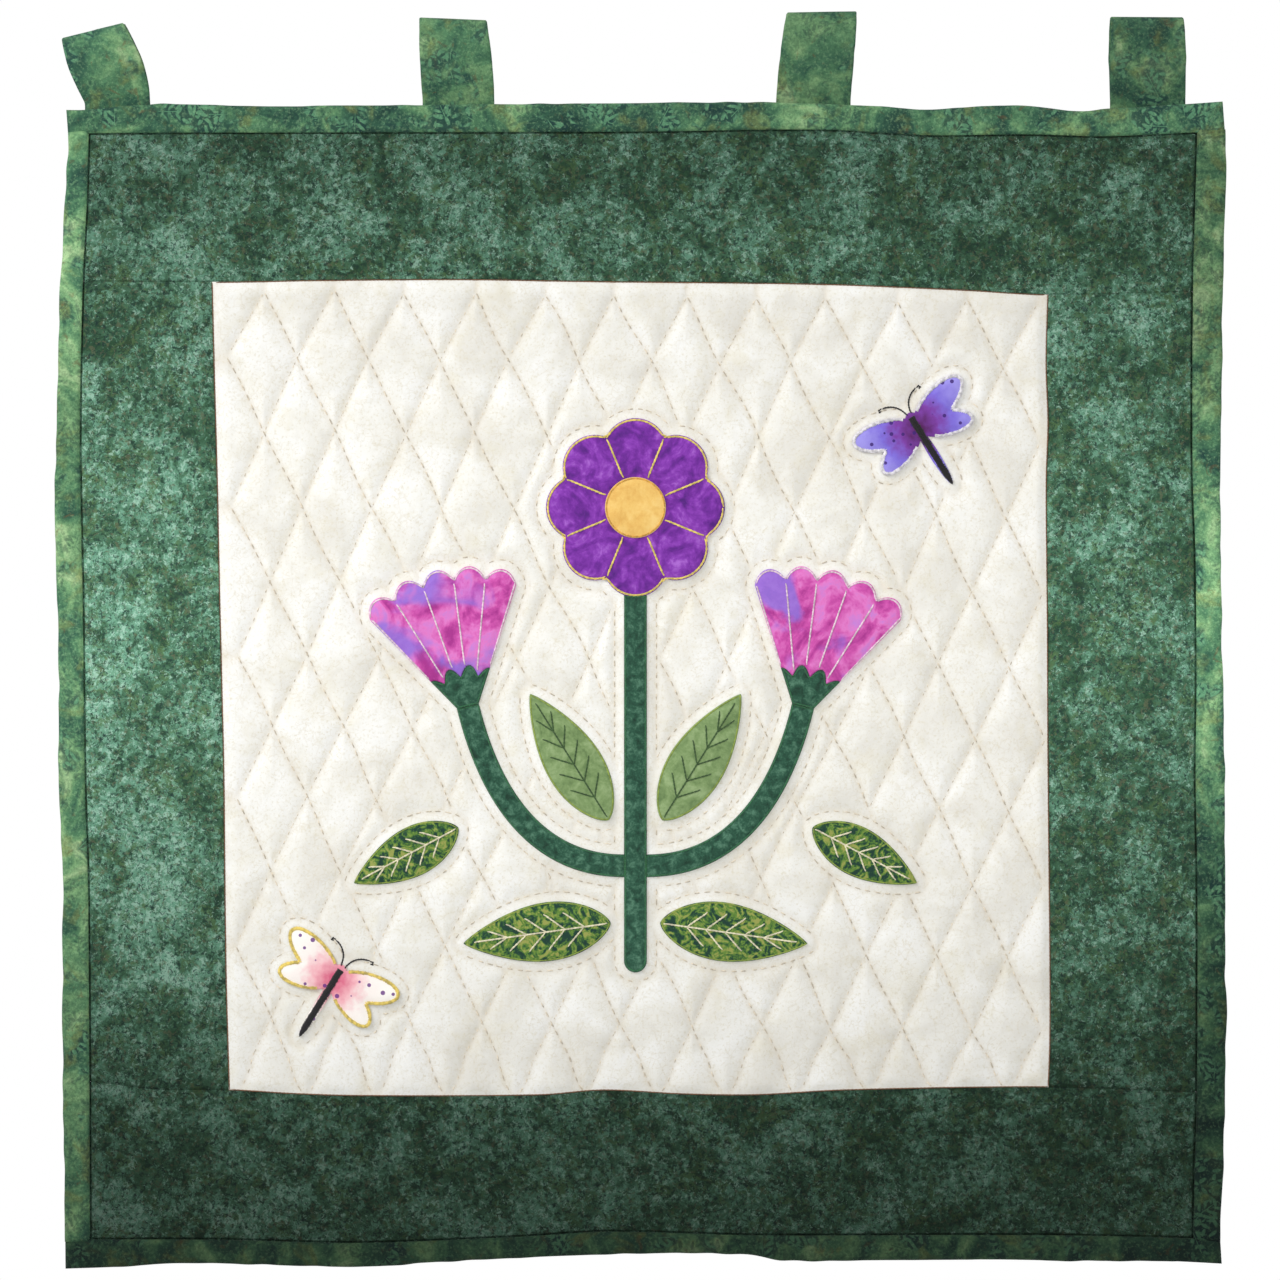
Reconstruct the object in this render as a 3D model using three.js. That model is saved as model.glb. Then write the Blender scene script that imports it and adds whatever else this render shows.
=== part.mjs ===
// Applique wall hanging: a cream centre panel quilted in diamonds, four border strips round it,
// bound edges and four hanging tabs. The applique on the panel is a spray of flowers with two
// small winged insects. Millimetres, +X to the right, the face looks along -Y, +Z up.
// The origin is on the axis of a rod through the tabs, midway along the hanging.
// "drop" is the distance below that axis, and "forward" the distance in front of the sheet's middle.

import * as THREE from 'three';

// Thicknesses of the quilted sheet, each counted from its middle to one face
const STITCHED_HALF = 1.0; // where the quilting thread pulls it in
const FRONT_PUFF = 2.2; // further out at the middle of a diamond, on the face
const BACK_PUFF = 0.8; // and on the back
const SEAM_HALF = 1.1;
const HEM_HALF = 1.3; // pressed flat inside the binding
const BORDER_HALF = 2.3;
// A border fills out between these distances from the binding or the seam
const BORDER_SWELL = { from: 2.5, to: 9 };

// Cloth thicknesses and the clearances between pieces
const GAP = 0.3;
const SEAM_INSET = 0.25; // each strip stops this far short of the seam line
const BINDING_CLOTH = 0.8;
const TOP_BINDING_CLOTH = 1.1; // the top and bottom strips lie over the ends of the side ones
const BINDING_FOLD = 1.2; // the fold at the outer edge
const FOLD_ROUNDING = { depth: 0.9, share: 0.45 }; // its bevel, inwards and of the half thickness
const END_CLOTH = 0.5; // closes the ends of the top and bottom strips
const APPLIQUE_CLOTH = 1.4;
const APPLIQUE_TURNED_EDGE = 0.8;

// Hanging tabs
const TAB_CLOTH = 1.5; // a doubled strip
const TAB_RISE = 47; // nominal height of a loop over the top edge
const TAB_COLUMNS = 4;

// The middle of the sheet lies in front of the rod's axis, because the tabs rise behind it
const BINDING_HALF = HEM_HALF + GAP + TOP_BINDING_CLOTH;
const SHEET_Y = -(BINDING_HALF + GAP + TAB_CLOTH);

// The quilting: lines bounce between the sides of a lattice of half diamonds
const LATTICE_COLUMNS = 23;
const LATTICE_ROWS = 11;
const LATTICE_WOBBLE = 0.9;

// The applique is set out from the panel's middle
const DESIGN = { x: -4, drop: 336.5 };
const APPLIQUE_LIFT = STITCHED_HALF + FRONT_PUFF + 0.4;

// Outline of the hanging, and the line where each binding strip stops on the face
const TOP_EDGE = [
  { x: -305, drop: 31.5 },
  { x: -293, drop: 31.5 },
  { x: -259, drop: 28.5 },
  { x: -188, drop: 29.5 },
  { x: -79, drop: 28.5 },
  { x: 70, drop: 27.5 },
  { x: 127, drop: 30 },
  { x: 152, drop: 31.5 },
  { x: 176, drop: 29.5 },
  { x: 201, drop: 29.5 },
  { x: 226, drop: 32 },
  { x: 245, drop: 31 },
  { x: 285, drop: 28.5 },
  { x: 306, drop: 27 },
];
const TOP_BINDING_LINE = [
  { x: -305, drop: 45 },
  { x: -291, drop: 44 },
  { x: -149, drop: 43.5 },
  { x: -2, drop: 43 },
  { x: 93, drop: 42 },
  { x: 149, drop: 45 },
  { x: 201, drop: 44.5 },
  { x: 242, drop: 45.5 },
  { x: 290, drop: 43.5 },
  { x: 306, drop: 43 },
];
const BOTTOM_EDGE = [
  { x: -305, drop: 640.5 },
  { x: -277, drop: 639.5 },
  { x: -244, drop: 637.5 },
  { x: -149, drop: 639 },
  { x: -95, drop: 636 },
  { x: -36, drop: 633 },
  { x: 19, drop: 632 },
  { x: 57, drop: 633 },
  { x: 75, drop: 636 },
  { x: 167, drop: 635.5 },
  { x: 224, drop: 636.5 },
  { x: 274, drop: 636.5 },
  { x: 306, drop: 638 },
];
const BOTTOM_BINDING_LINE = [
  { x: -305, drop: 625 },
  { x: -223, drop: 625 },
  { x: -149, drop: 626.5 },
  { x: -62, drop: 623 },
  { x: -19, drop: 620.5 },
  { x: 62, drop: 622.5 },
  { x: 167, drop: 622.5 },
  { x: 231, drop: 623 },
  { x: 306, drop: 625 },
];
const LEFT_EDGE = [
  { drop: 31, x: -303 },
  { drop: 46, x: -302 },
  { drop: 70, x: -303 },
  { drop: 103, x: -305 },
  { drop: 153, x: -307 },
  { drop: 218, x: -308.5 },
  { drop: 268, x: -308.5 },
  { drop: 300, x: -307 },
  { drop: 375, x: -307 },
  { drop: 436, x: -305 },
  { drop: 563, x: -305 },
  { drop: 597, x: -304 },
  { drop: 641, x: -303.5 },
];
const LEFT_BINDING_LINE = [
  { drop: 44, x: -291 },
  { drop: 81, x: -292 },
  { drop: 121, x: -294 },
  { drop: 196, x: -295.5 },
  { drop: 239, x: -295 },
  { drop: 289, x: -294 },
  { drop: 386, x: -293 },
  { drop: 436, x: -291.5 },
  { drop: 517, x: -291 },
  { drop: 641, x: -290.5 },
];
const RIGHT_EDGE = [
  { drop: 27, x: 304.5 },
  { drop: 51, x: 306 },
  { drop: 81, x: 306 },
  { drop: 124, x: 305 },
  { drop: 228, x: 303 },
  { drop: 289, x: 303.5 },
  { drop: 354, x: 305 },
  { drop: 478, x: 306 },
  { drop: 521, x: 306.5 },
  { drop: 585, x: 305 },
  { drop: 623, x: 303.5 },
  { drop: 641, x: 304.5 },
];
const RIGHT_BINDING_LINE = [
  { drop: 44, x: 291 },
  { drop: 81, x: 290 },
  { drop: 121, x: 289 },
  { drop: 218, x: 288.5 },
  { drop: 268, x: 290 },
  { drop: 332, x: 290.5 },
  { drop: 380, x: 290 },
  { drop: 436, x: 291 },
  { drop: 553, x: 291 },
  { drop: 585, x: 290 },
  { drop: 641, x: 289 },
];

// Seams: the upper and lower ones run right across, the side ones only beside the panel
const UPPER_SEAM = [
  { x: -309, drop: 121.5 },
  { x: -227, drop: 122 },
  { x: -170, drop: 121 },
  { x: -95, drop: 120.5 },
  { x: -30, drop: 121.5 },
  { x: 93, drop: 123 },
  { x: 167, drop: 126 },
  { x: 213, drop: 128.5 },
  { x: 289, drop: 127 },
  { x: 309, drop: 127 },
];
const LOWER_SEAM = [
  { x: -309, drop: 542 },
  { x: -291, drop: 542 },
  { x: -256, drop: 546 },
  { x: -218, drop: 546.5 },
  { x: -183, drop: 548.5 },
  { x: -149, drop: 549.5 },
  { x: -54, drop: 549 },
  { x: -21, drop: 546.5 },
  { x: 20, drop: 548.5 },
  { x: 58, drop: 549 },
  { x: 106, drop: 546.5 },
  { x: 213, drop: 545 },
  { x: 291, drop: 547.5 },
  { x: 309, drop: 547.5 },
];
const LEFT_SEAM = [
  { drop: 120, x: -226.5 },
  { drop: 164, x: -225.5 },
  { drop: 218, x: -224 },
  { drop: 289, x: -222.5 },
  { drop: 332, x: -221.5 },
  { drop: 375, x: -220.5 },
  { drop: 476, x: -219.5 },
  { drop: 517, x: -218.5 },
  { drop: 549, x: -217.5 },
];
const RIGHT_SEAM = [
  { drop: 126, x: 213 },
  { drop: 164, x: 212 },
  { drop: 196, x: 213 },
  { drop: 228, x: 212 },
  { drop: 289, x: 212.5 },
  { drop: 386, x: 213 },
  { drop: 478, x: 214 },
  { drop: 521, x: 214 },
  { drop: 548, x: 213 },
];

// Ends of each lattice row of the quilting
const QUILT_ROWS = [
  { row: 0, left: -217.5, leftDrop: 126, right: 207, rightDrop: 132.5 },
  { row: 1, left: -218.5, leftDrop: 161.5, right: 207.5, rightDrop: 167 },
  { row: 2, left: -217.5, leftDrop: 200, right: 208.5, rightDrop: 205.5 },
  { row: 3, left: -216.5, leftDrop: 239.5, right: 209, rightDrop: 245.5 },
  { row: 4, left: -214.5, leftDrop: 278.5, right: 209.5, rightDrop: 285.5 },
  { row: 5, left: -213, leftDrop: 317.5, right: 210.5, rightDrop: 324 },
  { row: 6, left: -213, leftDrop: 354.5, right: 211, rightDrop: 362.5 },
  { row: 7, left: -213.5, leftDrop: 392, right: 210.5, rightDrop: 400 },
  { row: 8, left: -214, leftDrop: 431, right: 210, rightDrop: 439 },
  { row: 9, left: -214, leftDrop: 470, right: 209.5, rightDrop: 476.5 },
  { row: 10, left: -214, leftDrop: 508.5, right: 209.5, rightDrop: 515.5 },
  { row: 11, left: -214, leftDrop: 546.5, right: 209.5, rightDrop: 545.5 },
];

// Soft folds in the hung sheet: each is a ridge at a place, turned from level, that fades out
// along its length and across its width. A negative rise is a trough.
const FOLDS = [
  { x: -300, drop: 260, turn: 90, length: 190, width: 75, rise: 3.2 },
  { x: -260, drop: 520, turn: 70, length: 130, width: 70, rise: -2.2 },
  { x: -40, drop: 640, turn: 0, length: 150, width: 80, rise: 3 },
  { x: 245, drop: 85, turn: 35, length: 80, width: 42, rise: 1.6 },
  { x: 262, drop: 150, turn: 40, length: 70, width: 45, rise: -1.4 },
  { x: 305, drop: 330, turn: 90, length: 140, width: 70, rise: 2.4 },
  { x: 285, drop: 610, turn: 135, length: 120, width: 75, rise: -2.6 },
  { x: 152, drop: 30, turn: 90, length: 60, width: 55, rise: 1.6 },
  { x: -180, drop: 60, turn: 10, length: 110, width: 60, rise: 1.2 },
  { x: 60, drop: 400, turn: 80, length: 220, width: 120, rise: 1.2 },
];

// Hanging tabs: the middle and width of each loop at its foot, on the top edge, and at its crown
const TABS = [
  { foot: -276, crown: -289.5, footWidth: 33.5, crownWidth: 33, rise: 40.5, tilt: 0.246 },
  { foot: -97, crown: -100, footWidth: 37.5, crownWidth: 36, rise: 45.5, tilt: -0.04 },
  { foot: 89.5, crown: 94, footWidth: 39, crownWidth: 37, rise: 48.5, tilt: 0.015 },
  { foot: 265.5, crown: 265, footWidth: 39.5, crownWidth: 38.5, rise: 47.5, tilt: -0.007 },
];

// Half of the loop's section, from its sewn root up to the crown, outside and inside the cloth
const TAB_SECTION = [
  { outerRise: -12, outer: TAB_CLOTH, innerRise: 3, inner: 0 },
  { outerRise: 2, outer: TAB_CLOTH + 0.1, innerRise: 3, inner: 0 },
  { outerRise: 10, outer: 3.6, innerRise: 10, inner: 2.1 },
  { outerRise: 20, outer: 6.1, innerRise: 20, inner: 4.6 },
  { outerRise: 31, outer: 7.5, innerRise: 31, inner: 6 },
  { outerRise: 40, outer: 6.6, innerRise: 39, inner: 5.1 },
  { outerRise: 45.5, outer: 3.4, innerRise: 44, inner: 2.5 },
  { outerRise: TAB_RISE, outer: 0, innerRise: TAB_RISE - TAB_CLOTH, inner: 0 },
];

// Flower spray, in its own plane: u to the right of the panel's middle, v above it
const ROSETTE = { u: 0, v: 96, petals: 8, petalRadius: 17, petalOffset: 30 };
const ROSETTE_CENTRE_RADIUS = 16;
const STEM_HALF = 6;
const MAIN_STEM = { bottom: -148, top: ROSETTE.v - ROSETTE.petalOffset - ROSETTE.petalRadius - GAP };
const SIDE_STEM = [
  { u: STEM_HALF + GAP, v: -92 },
  { u: 50, v: -92 },
  { u: 76, v: -58 },
  { u: 88, v: -8 },
];
const BLOOM = { aim: 76.5, halfAngle: 31, reach: 83, scallops: 5, scallopDepth: 7 };
const CALYX = { foot: 10.3, reach: 25, sepals: 3, sepalDepth: 6 };
const LEAF_PAIRS = [
  { u: 13, v: -122, aim: -8, length: 78, half: 15.5 },
  { u: 14, v: -68, aim: 58, length: 78, half: 15 },
  { u: 93, v: -72, aim: -28, length: 62, half: 13 },
];
const INSECTS = [
  { name: 'insect_upper', u: 148, v: 138, aim: 122 },
  { name: 'insect_lower', u: -158, v: -152, aim: 58 },
];

// Head, two pairs of wings and tail of an insect, each a long oval that starts in the middle
const INSECT_LOBES = [
  { turn: 0, reach: 9, half: 3.8 },
  { turn: 72, reach: 35, half: 8 },
  { turn: -72, reach: 35, half: 8 },
  { turn: 112, reach: 30, half: 7 },
  { turn: -112, reach: 30, half: 7 },
  { turn: 180, reach: 35, half: 2.6 },
];

const MATERIALS = {
  cream: { color: 0xf3efe2, roughness: 0.9 },
  border: { color: 0x2f5c48, roughness: 0.88 },
  batik: { color: 0x5c8a5c, roughness: 0.85 },
  stem: { color: 0x2c5a44, roughness: 0.88 },
  batik_leaf: { color: 0x4f7832, roughness: 0.85 },
  light_leaf: { color: 0x86a56a, roughness: 0.88 },
  pink: { color: 0xd060b4, roughness: 0.85 },
  purple: { color: 0x7c2fa4, roughness: 0.85 },
  yellow: { color: 0xf4cb78, roughness: 0.88 },
  violet: { color: 0x7a63c4, roughness: 0.8 },
  pale: { color: 0xf0dfd8, roughness: 0.8 },
};

// The value column of a table where its key column is at a given place, on a smooth curve
function through(rows, key, value, at) {
  const last = rows.length - 2;
  let i = 0;
  while (i < last && at > rows[i + 1][key]) {
    i += 1;
  }
  const slope = (a, b) => (rows[b][value] - rows[a][value]) / (rows[b][key] - rows[a][key]);
  const span = rows[i + 1][key] - rows[i][key];
  const s = THREE.MathUtils.clamp((at - rows[i][key]) / span, 0, 1);
  const before = slope(Math.max(i - 1, 0), i + 1) * span;
  const after = slope(i, Math.min(i + 2, last + 1)) * span;
  const stay = (1 - s) * (1 - s);
  return (
    stay * (1 + 2 * s) * rows[i][value] +
    s * stay * before +
    s * s * (3 - 2 * s) * rows[i + 1][value] -
    s * s * (1 - s) * after
  );
}

const dropOf = (edge, x) => through(edge, 'x', 'drop', x);
const xOf = (edge, drop) => through(edge, 'drop', 'x', drop);

// How far the soft folds bring the sheet forward at a place
function foldDepth(x, drop) {
  let depth = 0;
  for (const fold of FOLDS) {
    const turn = THREE.MathUtils.degToRad(fold.turn);
    const right = x - fold.x;
    const up = fold.drop - drop;
    const along = (right * Math.cos(turn) + up * Math.sin(turn)) / fold.length;
    const across = (up * Math.cos(turn) - right * Math.sin(turn)) / fold.width;
    depth += fold.rise * Math.exp(-along * along - across * across);
  }
  return depth;
}

function onSheet(x, drop, forward) {
  return new THREE.Vector3(x, SHEET_Y - foldDepth(x, drop) - forward, -drop);
}

// A closed mesh from triangles of points: equal points become one vertex, and triangles that
// have collapsed to a line or a point are dropped
function closedGeometry(triangles) {
  const numbers = new Map();
  const positions = [];
  const indices = [];
  const numberOf = (point) => {
    const key = point.toArray().map((value) => Math.round(value * 1e4)).join(' ');
    if (!numbers.has(key)) {
      numbers.set(key, numbers.size);
      positions.push(...point.toArray());
    }
    return numbers.get(key);
  };
  for (const triangle of triangles) {
    const corners = triangle.map(numberOf);
    if (new Set(corners).size === 3) {
      indices.push(...corners);
    }
  }
  const geometry = new THREE.BufferGeometry();
  geometry.setAttribute('position', new THREE.Float32BufferAttribute(positions, 3));
  geometry.setIndex(indices);
  geometry.computeVertexNormals();
  return geometry;
}

// Two triangles for a quad whose corners go round against the clock, seen from outside
function quad(a, b, c, d, splitFromB = false) {
  return splitFromB ? [[a, b, d], [b, c, d]] : [[a, b, c], [a, c, d]];
}

// The triangles of a grid of points, a list of rows from the top down, each from left to right
// as seen from the front
function gridFaces(grid, splitFromB = () => false) {
  const triangles = [];
  for (let r = 0; r + 1 < grid.length; r += 1) {
    for (let c = 0; c + 1 < grid[r].length; c += 1) {
      const [above, below] = [grid[r], grid[r + 1]];
      triangles.push(...quad(above[c], below[c], below[c + 1], above[c + 1], splitFromB(r, c)));
    }
  }
  return triangles;
}

const reversed = (triangles) => triangles.map(([a, b, c]) => [a, c, b]);

// The outermost points of a grid, clockwise
function gridRim(grid) {
  const last = grid[0].length - 1;
  return [
    ...grid[0].slice(0, last),
    ...grid.slice(0, -1).map((row) => row[last]),
    ...grid[grid.length - 1].slice(1).reverse(),
    ...grid.slice(1).reverse().map((row) => row[0]),
  ];
}

// The wall between two clockwise rims that start side by side. Where they have the same number
// of points these pair up, and otherwise each step goes to the nearer of the next two points.
function wallFaces(front, back) {
  const triangles = [];
  const at = (rim, i) => rim[i % rim.length];
  const paired = front.length === back.length;
  let f = 0;
  let b = 0;
  while (f < front.length || b < back.length) {
    const frontWay = at(front, f + 1).distanceTo(at(back, b));
    const backWay = at(back, b + 1).distanceTo(at(front, f));
    const stepFront = paired ? f === b : b === back.length || (f < front.length && frontWay <= backWay);
    if (stepFront) {
      triangles.push([at(front, f), at(front, f + 1), at(back, b)]);
      f += 1;
    } else {
      triangles.push([at(front, f), at(back, b + 1), at(back, b)]);
      b += 1;
    }
  }
  return triangles;
}

// A thin solid between a front and a back grid
function slab(front, back, splitFromB) {
  const wall = wallFaces(gridRim(front), gridRim(back));
  return closedGeometry([...gridFaces(front, splitFromB), ...reversed(gridFaces(back)), ...wall]);
}

// The same for a round piece: each row is a ring, the first one shrunk to the middle point, and
// the points of a ring go round against the clock
function disc(front, back) {
  const closed = (rings) => rings.map((ring) => [...ring, ring[0]]);
  const rim = (rings) => [...rings[rings.length - 1]].reverse();
  const wall = wallFaces(rim(front), rim(back));
  return closedGeometry([...gridFaces(closed(front)), ...reversed(gridFaces(closed(back))), ...wall]);
}

// A solid through a row of equal closed sections, with flat ends
function loft(sections) {
  const around = sections[0].length;
  const triangles = [];
  for (let i = 0; i + 1 < sections.length; i += 1) {
    for (let k = 0; k < around; k += 1) {
      const next = (k + 1) % around;
      const [here, there] = [sections[i], sections[i + 1]];
      triangles.push(...quad(here[k], here[next], there[next], there[k]));
    }
  }
  return triangles;
}

const group = new THREE.Group();

function add(name, geometry, material) {
  const cloth = new THREE.MeshStandardMaterial({ ...MATERIALS[material], metalness: 0 });
  const mesh = new THREE.Mesh(geometry, cloth);
  mesh.name = name;
  group.add(mesh);
}

const grid = (rows, columns, point) => rows.map((r) => columns.map((c) => point(r, c)));

// Numbers from one to another in equal steps, both ends counted
function evenly(from, to, steps) {
  return Array.from({ length: steps + 1 }, (_, i) => from + ((to - from) * i) / steps);
}

// The applique's outlines, which the panel needs too, because it isn't quilted under them
const radians = THREE.MathUtils.degToRad;
const polar = (origin, angle, reach) => ({
  u: origin.u + reach * Math.cos(radians(angle)),
  v: origin.v + reach * Math.sin(radians(angle)),
});

// A bloom and its calyx fan out from here, so that the calyx is as wide as the stem where they meet
const FAN_MIDDLE = polar(SIDE_STEM[3], BLOOM.aim, GAP - CALYX.foot);

function bezier(points, t) {
  const curve = new THREE.CubicBezierCurve(...points.map((p) => new THREE.Vector2(p.u, p.v)));
  return { at: curve.getPoint(t), along: curve.getTangent(t) };
}

// Reach of a rosette's round petals at an angle from its middle
function rosetteReach(angle) {
  const pitch = 360 / ROSETTE.petals;
  const off = radians(angle + 90 - pitch * Math.round((angle + 90) / pitch));
  const side = ROSETTE.petalOffset * Math.sin(off);
  return ROSETTE.petalOffset * Math.cos(off) + Math.sqrt(ROSETTE.petalRadius ** 2 - side ** 2);
}

// Reach of a long oval lobe at an angle from its own line; it starts a little behind its root
const LOBE_HALF_LENGTH = 0.52; // as a share of the reach

function lobeReach(lobe, angle) {
  const off = radians(angle - lobe.turn);
  const half = lobe.reach * LOBE_HALF_LENGTH;
  const offset = lobe.reach - half;
  const a = (Math.cos(off) / half) ** 2 + (Math.sin(off) / lobe.half) ** 2;
  const b = (-2 * Math.cos(off) * offset) / half ** 2;
  const c = (offset / half) ** 2 - 1;
  return (-b + Math.sqrt(b * b - 4 * a * c)) / (2 * a);
}

const insectReach = (angle) => Math.max(...INSECT_LOBES.map((lobe) => lobeReach(lobe, angle)));

// A leaf is widest nearer its stalk, and comes to a point at both ends
const leafHalf = (leaf, t) => leaf.half * Math.sin(Math.PI * t ** 0.8) ** 0.8;

// Straight foot of the calyx, the pointed edge between calyx and bloom, and the bloom's scalloped
// outer edge; s runs from -1 to 1
const halfTurns = (count, s) => (count * Math.PI * (s + 1)) / 2;
const calyxFoot = (s) => CALYX.foot / Math.cos(radians(s * BLOOM.halfAngle));
const calyxEdge = (s) => CALYX.reach + CALYX.sepalDepth * Math.abs(Math.cos(halfTurns(CALYX.sepals, s)));
const bloomEdge = (s) =>
  BLOOM.reach - BLOOM.scallopDepth * (1 - Math.abs(Math.sin(halfTurns(BLOOM.scallops, s))) ** 0.7);

// Places that the applique and the echo stitches round it keep free of diamonds, as discs; the
// left half is mirrored from the right
const COVER_RADIUS = { rosette: 50, stem: 11 };
const BLOOM_COVER = [{ share: 0.3, radius: 16 }, { share: 0.62, radius: 42 }];

function coveredDiscs() {
  const discs = [{ u: ROSETTE.u, v: ROSETTE.v, radius: COVER_RADIUS.rosette }];
  for (const v of evenly(MAIN_STEM.bottom, MAIN_STEM.top, 14)) {
    discs.push({ u: 0, v, radius: COVER_RADIUS.stem });
  }
  for (const side of [-1, 1]) {
    for (const t of evenly(0, 1, 8)) {
      const { at } = bezier(SIDE_STEM, t);
      discs.push({ u: side * at.x, v: at.y, radius: COVER_RADIUS.stem });
    }
    for (const { share, radius } of BLOOM_COVER) {
      const middle = polar(FAN_MIDDLE, BLOOM.aim, BLOOM.reach * share);
      discs.push({ u: side * middle.u, v: middle.v, radius });
    }
    for (const leaf of LEAF_PAIRS) {
      for (const t of [0.25, 0.5, 0.75]) {
        const middle = polar(leaf, leaf.aim, leaf.length * t);
        discs.push({ u: side * middle.u, v: middle.v, radius: leaf.half });
      }
    }
  }
  return discs;
}

const COVERED = coveredDiscs();

function isCovered(x, drop) {
  const u = x - DESIGN.x;
  const v = DESIGN.drop - drop;
  return COVERED.some((place) => Math.hypot(u - place.u, v - place.v) < place.radius);
}

// Place of a lattice point of the quilting, with the wander of hand-drawn lines. Column -1 and
// the one past the last are the side seams, and row -1 is the upper seam.
function latticePlace(column, row) {
  const share = THREE.MathUtils.clamp(column / LATTICE_COLUMNS, 0, 1);
  const rowEnd = (value) => through(QUILT_ROWS, 'row', value, Math.max(row, 0));
  let x = THREE.MathUtils.lerp(rowEnd('left'), rowEnd('right'), share);
  let drop = THREE.MathUtils.lerp(rowEnd('leftDrop'), rowEnd('rightDrop'), share);
  x += LATTICE_WOBBLE * Math.sin(2.1 * column + 1.3 * row) * Math.sin(Math.PI * share);
  drop += LATTICE_WOBBLE * Math.sin(1.7 * column + 2.9 * row);
  if (row < 0) {
    drop = dropOf(UPPER_SEAM, x) + SEAM_INSET;
  }
  if (row >= LATTICE_ROWS) {
    drop = dropOf(LOWER_SEAM, x) - SEAM_INSET;
  }
  if (column < 0) {
    x = xOf(LEFT_SEAM, drop) + SEAM_INSET;
  }
  if (column > LATTICE_COLUMNS) {
    x = xOf(RIGHT_SEAM, drop) - SEAM_INSET;
  }
  return { x, drop };
}

// How far a lattice point has swelled: 0 on a line of stitches, 1 at the middle of a diamond
function swell(column, row, place) {
  if (column < 0 || column > LATTICE_COLUMNS || row < 0 || row >= LATTICE_ROWS) {
    return 0.05;
  }
  if (isCovered(place.x, place.drop)) {
    return 1;
  }
  const fromLine = (value) => Math.abs((((value % 2) + 2) % 2) - 1);
  const nearest = Math.min(fromLine(column + row), fromLine(column - row));
  return nearest * (2 - nearest);
}

function centrePanel() {
  const [lastColumn, lastRow] = [LATTICE_COLUMNS, LATTICE_ROWS];
  const columnsAt = (parts) => [-1, ...evenly(0, lastColumn, lastColumn * parts), lastColumn + 1];
  const rowsAt = (parts) => [-1, ...evenly(0, lastRow, lastRow * parts)];
  const [columns, rows] = [columnsAt(2), rowsAt(2)];
  const face = (side, puff) => (row, column) => {
    const place = latticePlace(column, row);
    return onSheet(place.x, place.drop, side * (STITCHED_HALF + puff * swell(column, row, place)));
  };
  const alongStitches = (r, c) => {
    const column = Math.floor((columns[c] + columns[c + 1]) / 2);
    const row = Math.floor((rows[r] + rows[r + 1]) / 2);
    return (column + row) % 2 === 0;
  };
  const front = grid(rows, columns, face(1, FRONT_PUFF));
  const back = grid(rowsAt(1), columnsAt(1), face(-1, BACK_PUFF));
  add('centre_panel', slab(front, back, alongStitches), 'cream');
}

// Half thickness of a border strip: pressed flat under the binding, full between it and the seam
function borderHalf(x, drop, toSeam) {
  const toBinding = Math.min(
    drop - dropOf(TOP_BINDING_LINE, x),
    dropOf(BOTTOM_BINDING_LINE, x) - drop,
    x - xOf(LEFT_BINDING_LINE, drop),
    xOf(RIGHT_BINDING_LINE, drop) - x,
  );
  const rise = (distance) => THREE.MathUtils.smoothstep(distance, BORDER_SWELL.from, BORDER_SWELL.to);
  const full = THREE.MathUtils.lerp(HEM_HALF, BORDER_HALF, rise(toBinding));
  return THREE.MathUtils.lerp(Math.min(SEAM_HALF, full), full, rise(toSeam));
}

// Grid rows across a border strip, at distances from its outer edge, the binding or the seam
const STRIP_ROWS = [
  { beside: 'edge', distance: 0 },
  { beside: 'binding', distance: 1 },
  { beside: 'binding', distance: 9 },
  { beside: 'seam', distance: 38 },
  { beside: 'seam', distance: 9 },
  { beside: 'seam', distance: 0 },
];
const HEM_INSET = BINDING_FOLD + GAP + 0.2; // the strip's raw edge stays clear of the binding's fold

// Place of a grid row between the edge and the seam, all counted along one axis
function rowPlace({ beside, distance }, edge, bindingLine, seam) {
  const inward = Math.sign(seam - edge);
  const starts = { edge: edge + inward * HEM_INSET, binding: bindingLine, seam };
  return starts[beside] + (beside === 'seam' ? -inward : inward) * distance;
}

function strip(stations, place) {
  const face = (side) => (row, station) => {
    const { x, drop, toSeam } = place(row, station);
    return onSheet(x, drop, side * borderHalf(x, drop, toSeam));
  };
  return { front: grid(STRIP_ROWS, stations, face(1)), back: grid(STRIP_ROWS, stations, face(-1)) };
}

const transposed = (rows) => rows[0].map((_, c) => rows.map((row) => row[c]));

// Distances from a side edge at which the top and bottom pieces have a grid column
const END_STATIONS = [HEM_INSET, 6, 16, 24];
const WIDE_STEPS = 24;

// Grid columns of a top or bottom piece, as places along its outer edge
function wideStations(edge) {
  const drop = dropOf(edge, 0);
  const [left, right] = [xOf(LEFT_EDGE, drop), xOf(RIGHT_EDGE, drop)];
  const inner = END_STATIONS[END_STATIONS.length - 1];
  return [
    ...END_STATIONS.map((distance) => left + distance),
    ...evenly(left + inner, right - inner, WIDE_STEPS).slice(1, -1),
    ...END_STATIONS.map((distance) => right - distance).reverse(),
  ];
}

// A grid column bends with the side edges of the hanging
function bentStation(station, edge, drop) {
  const level = dropOf(edge, 0);
  const [left, right] = [xOf(LEFT_EDGE, level), xOf(RIGHT_EDGE, level)];
  const share = (station - left) / (right - left);
  return station + THREE.MathUtils.lerp(xOf(LEFT_EDGE, drop) - left, xOf(RIGHT_EDGE, drop) - right, share);
}

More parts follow.
